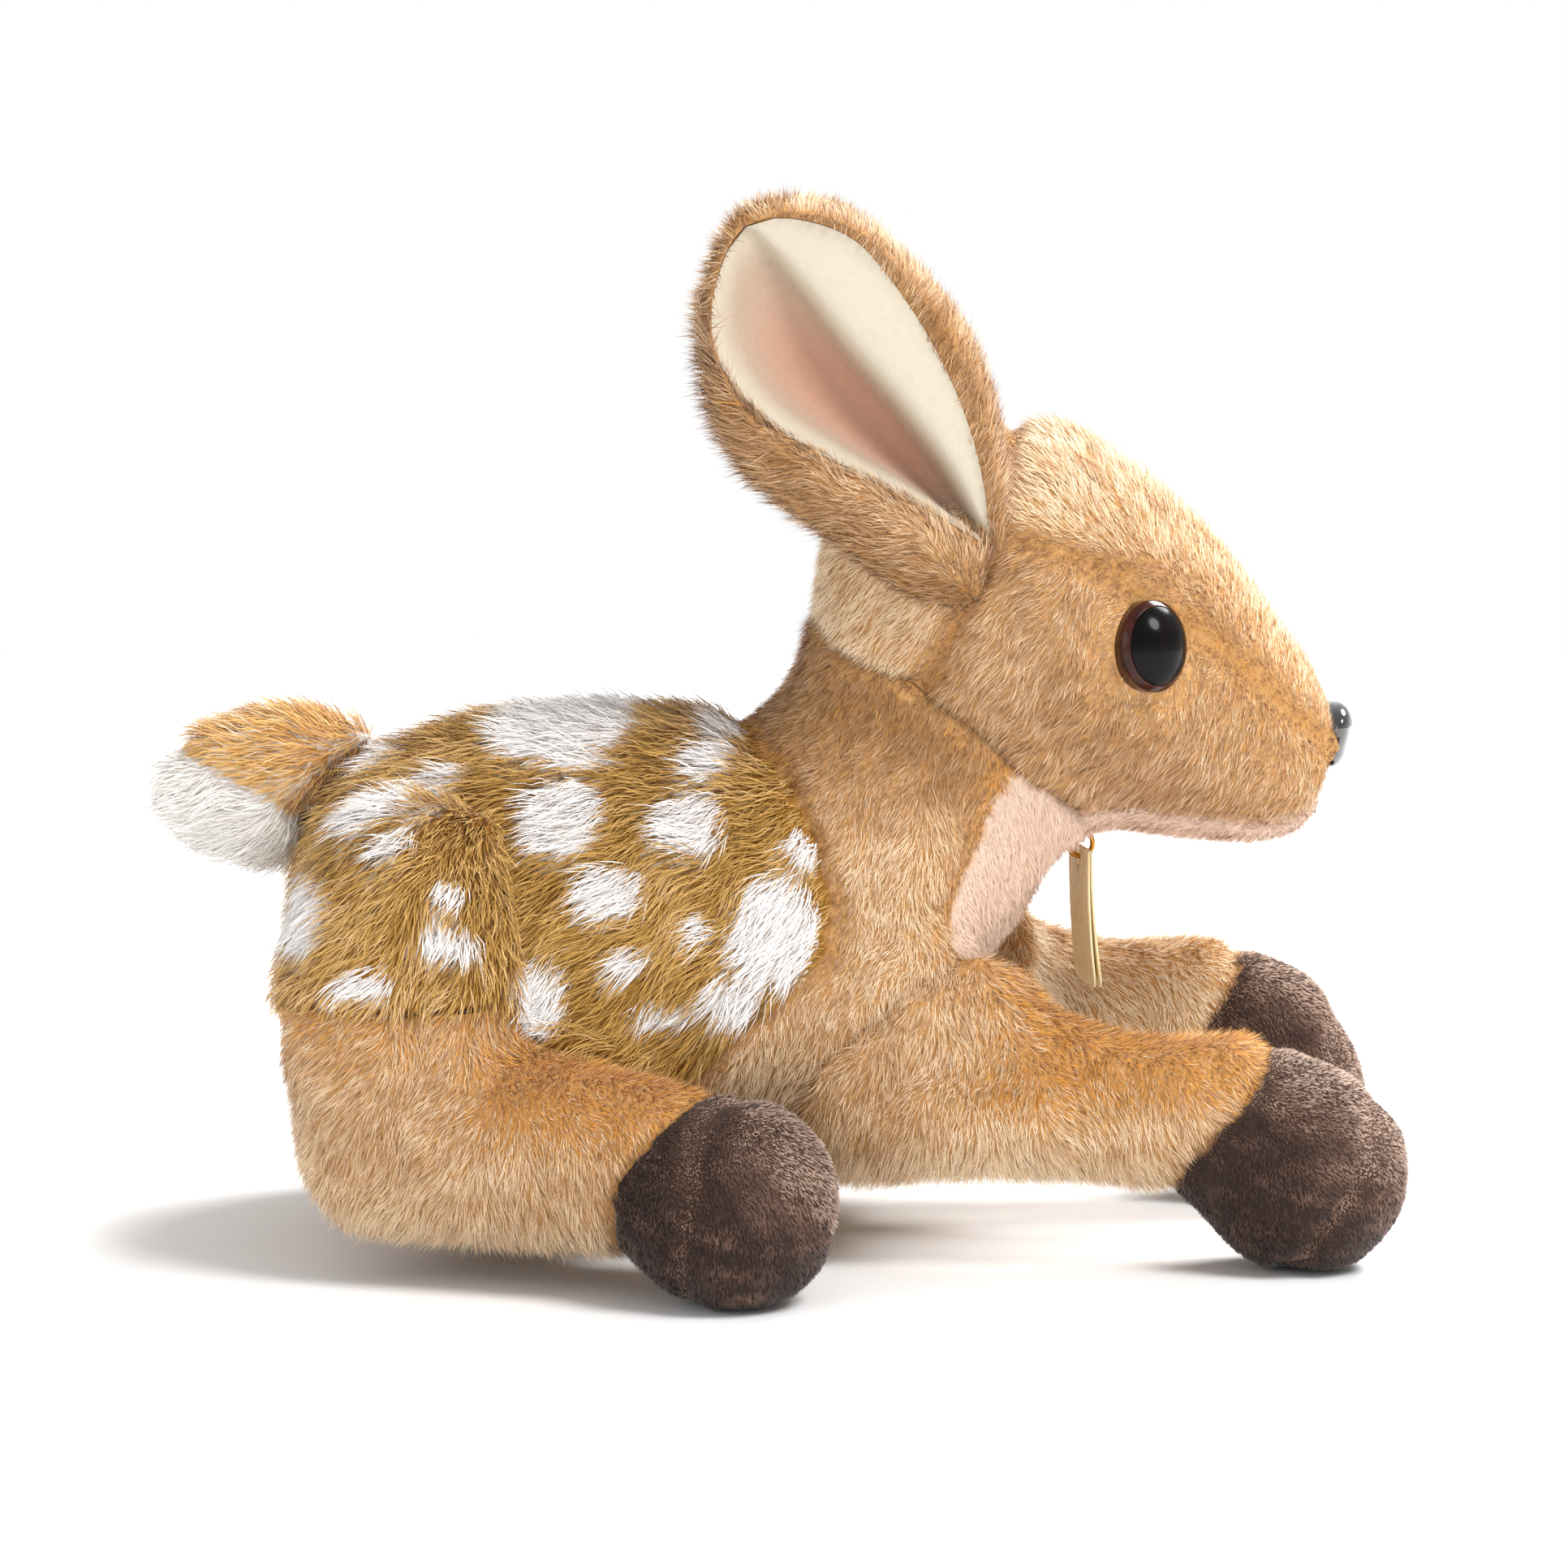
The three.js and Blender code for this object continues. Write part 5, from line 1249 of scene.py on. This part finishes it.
class Ear:
    """A leaf with a lined hollow between thick furry rims; the left ear is the right one mirrored."""

    def __init__(self, side):
        self.side = side
        self.body = f"{side}_ear"
        self.mirror = np.array([1, 1 if side == "right" else -1, 1])
        self.axis = turn_about("X", EAR_OUTWARD) @ turn_about("Y", -EAR_BACKWARD) @ UP
        opening = turn_about("Z", EAR_OPEN_FORWARD) @ np.array([0.0, -1, 0])
        self.opening = unit(opening - self.axis * (opening @ self.axis))
        self.across = np.cross(self.opening, self.axis)

    def outlines(self, along):
        """Cross section at one place along the ear: points of its front and of its back, in millimetres."""
        share = np.array(max(along, 0.0))
        tip = math.sqrt(1 - np.clip((along - EAR_TIP_FROM) / (1 - EAR_TIP_FROM), 0, 1) ** 2)
        lined = np.clip((along - LINING_TIP_FROM) / (LINING_TO - LINING_TIP_FROM), 0, 1)
        front = -curve_through(EAR_FRONT_WIDTHS, share) * tip
        rear = curve_through(EAR_REAR_WIDTHS, share) * tip
        edges = [curve_through(values, share) for values in (LINING_FRONT_EDGES, LINING_REAR_EDGES)]
        half = (edges[1] - edges[0]) / 2 * math.sqrt(1 - lined ** 2)
        middle = (edges[0] + edges[1]) / 2
        wall, floor_front, floor_rear = (middle - half + 2 * half * place for place in HOLLOW_PLACES)
        depth = curve_through(HOLLOW_DEPTHS, share) * tip
        rim = curve_through(REAR_RIM_HEIGHTS, share) * tip
        back = curve_through(EAR_BACK_DEPTHS, share) * tip + 1
        foot = 1 + EAR_FOOT_TAPER * min(along, 0) * EAR_LENGTH / EAR_BURIED
        lining_front, lining_rear = middle - half, middle + half
        face = [
            (front, RIM_LEVEL),
            ((front + lining_front) / 2, FRONT_RIM_HEIGHT * tip),
            (lining_front, 1.4 * tip),
            (wall, 0.4 * tip),
            (floor_front, -depth),
            (floor_rear, -depth * 0.95),
            (lining_rear, rim * 0.35),
            ((lining_rear + rear) / 2, rim),
            (rear, RIM_LEVEL),
        ]
        behind = [
            (rear, RIM_LEVEL),
            (rear * 0.94, -back * 0.5),
            (rear * 0.45, -back),
            (front * 0.45, -back),
            (front * 0.94, -back * 0.5),
            (front, RIM_LEVEL),
        ]
        return np.array(face) * foot, np.array(behind) * foot

    def place(self, along, flat):
        """Points of one cross section, from sideways and outward millimetres."""
        middle = EAR_FOOT + self.axis * along * EAR_LENGTH
        outward = flat[:, 1:] * MM - EAR_BOW * along ** 2
        return (middle + self.across * flat[:, :1] * MM + self.opening * outward) * self.mirror

    def rows(self):
        start = -EAR_BURIED / EAR_LENGTH
        return start + (1 - start) * np.sin(np.linspace(0, math.pi / 2, EAR_ROWS)) * 0.9995

    def leaf(self):
        """The ear's cloth, closed: points, triangles, place along it and place around its section."""
        face_share = np.linspace(0, 1, EAR_COLUMNS)
        back_share = np.linspace(0, 1, EAR_COLUMNS)[1:-1]
        around = np.concatenate([face_share, np.full(len(back_share), 2.0)])
        sides = len(around)
        loops = []
        for along in self.rows():
            face, behind = self.outlines(along)
            flat = np.concatenate([curve_through(face, face_share), curve_through(behind, back_share)])
            loops.append(self.place(along, flat))
        points = np.concatenate([*loops, loops[0].mean(axis=0)[None], loops[-1].mean(axis=0)[None]])
        triangles = capped_triangles(EAR_ROWS, sides)
        if self.side == "right":
            triangles = triangles[:, ::-1]
        along = np.concatenate([np.repeat(self.rows(), sides), [0, 1]])
        return points, triangles, along, np.concatenate([np.tile(around, EAR_ROWS), [2.0, 2.0]])

    def make_back(self):
        points, triangles, along, around = self.leaf()
        core = make_object(f"{self.body}_stuffed", points, triangles)
        colours = np.tile(CLOTH_COLOURS["tan"], (len(points), 1))
        set_attribute(core.data, "cloth", "FLOAT_COLOR", colours)
        finish_piece(core, self.body, backing)
        lined = (around > 0.25) & (around < 0.75) & (along > LINING_FROM) & (along < LINING_TO)
        furred = lined[triangles].sum(axis=1) < 3
        found = scattered(points, normals_of(core.data), triangles[furred], PILES["ear"]["dense"])
        places, facing, at, corners = found
        up_ear = (along[at] * corners).sum(axis=1)
        middle = EAR_FOOT + self.axis * (up_ear * EAR_LENGTH)[:, None]
        sideways = (places * self.mirror - middle) @ self.across
        outwards = np.clip(sideways / EAR_FLOW_TURN, -1, 1)[:, None]
        flow = (self.axis * EAR_FLOW[0] + self.across * outwards * EAR_FLOW[1]) * self.mirror
        fringe = 1 + EAR_FRINGE * smooth_step(*EAR_FRINGE_FROM, sideways)
        broad, fine = waves(places, 30 * MM, 8), waves(places, 8 * MM, 9)
        tone = EAR_TONE + EAR_PATCHES[0] * broad + EAR_PATCHES[1] * fine
        # painted light: paler where the pile looks up
        tone = tone + EAR_TOP_PAINTED_LIGHT * np.clip(facing[:, 2], 0, 1)
        pile = strands(f"{self.body}_back_pile", places, facing, flow, "ear", tone, fringe)
        finish_piece(pile, self.body, tan_pile, [f"{self.body}_back"])
        return core

    def make_lining(self, core):
        rows = np.linspace(LINING_FROM, LINING_TO, EAR_ROWS)
        share = np.linspace(*LINING_ACROSS, EAR_COLUMNS)
        loops, hollow = [], []
        for along in rows:
            flat = curve_through(self.outlines(along)[0], share)
            # painted shade: how deep each point lies in the hollow, which darkens the lining
            hollow.append(np.clip(-flat[:, 1] / max(HOLLOW_DEPTHS), 0, 1))
            loops.append(self.place(along, flat + np.array([0, LINING_OVER / MM])))
        quads = grid_quads(EAR_ROWS, EAR_COLUMNS, closed=False)
        if self.side == "right":
            quads = quads[:, ::-1]
        lining = make_object(f"{self.body}_lining_cloth", np.concatenate(loops), quads)
        set_attribute(lining.data, "hollow", "FLOAT", np.concatenate(hollow))
        finish_piece(lining, self.body, lining_cloth, [f"{self.body}_lining"])
        area = sum(face.area for face in lining.data.polygons)
        length = (LINING_TO - LINING_FROM) * EAR_LENGTH
        flat = (area / length * LINING_CUT, length)


for side in ("right", "left"):
    ear = Ear(side)
    ear.make_lining(ear.make_back())


# Eyes and nose

def turned_piece(name, profile, place, outline=None):
    """A closed turned form: radius and height along its profile, which starts and ends on its axis."""
    facing = unit(np.asarray(place["facing"], float))
    side = unit(np.cross(UP, facing))
    upward = np.cross(facing, side)
    angles = np.arange(FITTING_SEGMENTS) / FITTING_SEGMENTS * 2 * math.pi
    grow = np.ones(FITTING_SEGMENTS) if outline is None else outline(angles)
    flat = np.outer(np.cos(angles) * grow * place["across"], side) + np.outer(np.sin(angles) * grow, upward)
    rings = [flat * radius + facing * height for radius, height in profile[1:-1]]
    ends = [facing * profile[0][1], facing * profile[-1][1]]
    points = place["point"] + np.concatenate([*rings, ends])
    return make_object(name, points, capped_triangles(len(rings), FITTING_SEGMENTS))


def dome_height(radius):
    rim = EYE_DIAMETER / 2
    sphere = (rim ** 2 + EYE_DOME ** 2) / (2 * EYE_DOME)
    return math.sqrt(sphere ** 2 - radius ** 2) - (sphere - EYE_DOME)


for side, place in eyes.items():
    rim = EYE_DIAMETER / 2
    pupil = PUPIL_DIAMETER / 2
    ring = [rim - (rim - pupil) * i / EYE_RINGS for i in range(EYE_RINGS + 1)]
    cup = [(0, -EYE_DEPTH), (rim, -EYE_DEPTH), (rim, -EYE_EDGE)]
    cup += [(r, dome_height(r)) for r in ring] + [(pupil, PUPIL_DEPTH), (0, PUPIL_DEPTH)]
    eye = turned_piece(f"{side}_eye_cup", cup, place)
    finish_piece(eye, "head", eye_brown, [f"{side}_eye"])
    steps = [pupil * PUPIL_FIT * math.cos(math.pi / 2 * i / FITTING_RINGS) for i in range(FITTING_RINGS)]
    dome = [(0, PUPIL_DEPTH), (pupil * PUPIL_FIT, PUPIL_DEPTH)]
    dome += [(r, dome_height(r)) for r in steps] + [(0, EYE_DOME)]
    black = turned_piece(f"{side}_pupil_dome", dome, place)
    finish_piece(black, "head", eye_black, [f"{side}_pupil"])


def nose_outline(angles):
    return 1 + NOSE_POINTED * np.cos(3 * (angles + math.pi / 2))


nose_place = {"point": NOSE_POINT, "facing": NOSE_FACING, "across": NOSE_WIDTH / NOSE_HEIGHT}
half_nose = NOSE_HEIGHT / 2
nose_profile = [(0, -NOSE_SEAT), (half_nose * NOSE_FOOT, -NOSE_SEAT), (half_nose, 0)]
for i in range(1, FITTING_RINGS):
    polar = math.pi / 2 * i / FITTING_RINGS
    nose_profile.append((half_nose * math.cos(polar), NOSE_DOME * math.sin(polar)))
nose_profile.append((0, NOSE_DOME))
nose = turned_piece("nose_button", nose_profile, nose_place, nose_outline)
finish_piece(nose, "head", nose_black, ["nose"])


# Ring and cord of the tag, smooth where the CAD ones are faceted

def smooth_ring(name, node, wire):
    """A torus in place of a CAD one."""
    points = points_of(frame["nodes"][node].data)
    centre = (points.min(axis=0) + points.max(axis=0)) / 2
    side, upward = np.linalg.svd(points - points.mean(axis=0))[2][:2]
    axis = np.cross(side, upward)
    radius = np.linalg.norm(points - centre, axis=1).max() - wire / 2
    around, thick = WIRE_SEGMENTS
    angle = np.arange(around) / around * 2 * math.pi
    turn = np.arange(thick) / thick * 2 * math.pi
    out = np.outer(np.cos(angle), side) + np.outer(np.sin(angle), upward)
    across = out[:, None] * (radius + wire / 2 * np.cos(turn))[:, None]
    corners = centre + across + np.outer(wire / 2 * np.sin(turn), axis)
    quads = grid_quads(around + 1, thick)[:, ::-1] % (around * thick)
    return make_object(name, corners.reshape(-1, 3), quads)


ring = smooth_ring("tag_ring_wire", "tag_ring", RING_WIRE)
finish_piece(ring, "torso", brass, ["tag_ring"])
loop = smooth_ring("tag_cord_loop", "tag_cord", CORD_THICK)
finish_piece(loop, "torso", cord_thread, ["tag_cord"])


# Tag

def tag_outline():
    """Points around one leaf, from its hole's centre: sideways and upward."""
    half, corner = TAG_WIDTH / 2, TAG_CORNER
    arc = np.linspace(0, math.pi / 2, 7)
    right = [(half - corner + corner * math.sin(a), corner - TAG_BOTTOM - corner * math.cos(a)) for a in arc]
    rise = np.arange(corner - TAG_BOTTOM, TAG_TOP, TAG_STEP)[1:]
    right += [(half, height) for height in rise] + [(half, TAG_TOP)]
    over = np.arange(-half, half, TAG_STEP)[1:]
    return np.array([*right, *((-x, TAG_TOP) for x in over), *((-x, z) for x, z in reversed(right)),
                     *((x, -TAG_BOTTOM) for x in np.arange(corner - half, half - corner, TAG_STEP)[1:])])


def tag_leaf(name, way):
    """One leaf around the hole, bowed forward towards its foot."""
    outline = tag_outline()
    hole = unit(outline) * TAG_HOLE / 2
    share = np.linspace(0, 1, TAG_RINGS)[:, None, None]
    flat = (hole + (outline - hole) * share).reshape(-1, 2)
    down = (TAG_TOP - flat[:, 1]) / (TAG_TOP + TAG_BOTTOM)
    forward = TAG_BOW * down ** 2 + way * (TAG_CARD / 2 + TAG_GAP / 2 * down)
    local = np.stack([forward, flat[:, 0], flat[:, 1]], axis=1)
    points = local @ turn_about("Z", TAG_TURN).T + np.array(joints["tag_swing"]["pos_m"]) - UP * RING_DROP
    leaf = make_object("leaf", points, grid_quads(TAG_RINGS, len(outline)))
    mesh = with_modifier(leaf, "SOLIDIFY", thickness=TAG_CARD, offset=0)
    obj = show(name, mesh)
    finish_piece(obj, "tag", card, ["hang_tag"])


tag_leaf("tag_front_leaf", 1)
tag_leaf("tag_rear_leaf", -1)


# CAD nodes that stay

def paint_node(name, material):
    mesh = frame["nodes"][name].data
    mesh.materials.clear()
    mesh.materials.append(material)


for washer in ("right_eye_washer", "left_eye_washer", "nose_washer"):
    paint_node(washer, washer_plastic)


# Floor, light and camera

floor = make_object(
    "floor",
    np.array([(-1, -1, 0), (1, -1, 0), (1, 1, 0), (-1, 1, 0)]) * FLOOR_SIZE,
    [(0, 1, 2, 3)],
)
floor_white = two_tone_material(
    "pale floor", linear(253, 253, 253), linear(255, 255, 255), 3, 0.0, Roughness=0.9
)
floor.data.materials.append(floor_white)


def soft_box(name, place, size, power):
    light = bpy.data.lights.new(name, "AREA")
    light.shape = "DISK"
    light.size = size
    light.energy = power
    obj = bpy.data.objects.new(name, light)
    obj.location = place
    obj.rotation_euler = (CAMERA_TARGET - Vector(place)).to_track_quat("-Z", "Y").to_euler()
    bpy.context.scene.collection.objects.link(obj)


for name, light in LIGHTS.items():
    soft_box(name, *light)

world = bpy.data.worlds.new("studio")
world.use_nodes = True
tree = world.node_tree
ways = tree.nodes.new("ShaderNodeTexCoord")
height = tree.nodes.new("ShaderNodeSeparateXYZ")
tree.links.new(ways.outputs["Generated"], height.inputs["Vector"])
SKY_BRIGHT = [(0, 1), (0.05, 1), (0.2, 0.6), (1, 0.7)]  # height and brightness
sky = ramp(tree, [(place, (bright, bright, bright, 1)) for place, bright in SKY_BRIGHT])
tree.links.new(height.outputs["Z"], sky.inputs["Fac"])
tree.links.new(sky.outputs["Color"], tree.nodes["Background"].inputs["Color"])
bpy.context.scene.world = world
bpy.context.scene.view_settings.view_transform = "Standard"

camera_data = bpy.data.cameras.new("camera")
camera_data.lens = CAMERA_LENS
camera_data.sensor_width = CAMERA_SENSOR
camera = bpy.data.objects.new("camera", camera_data)
elevation = math.radians(CAMERA_ELEVATION)
camera.location = CAMERA_TARGET + CAMERA_DISTANCE * Vector((0, -math.cos(elevation), math.sin(elevation)))
camera.rotation_euler = (CAMERA_TARGET - camera.location).to_track_quat("-Z", "Y").to_euler()
bpy.context.scene.collection.objects.link(camera)
bpy.context.scene.camera = camera
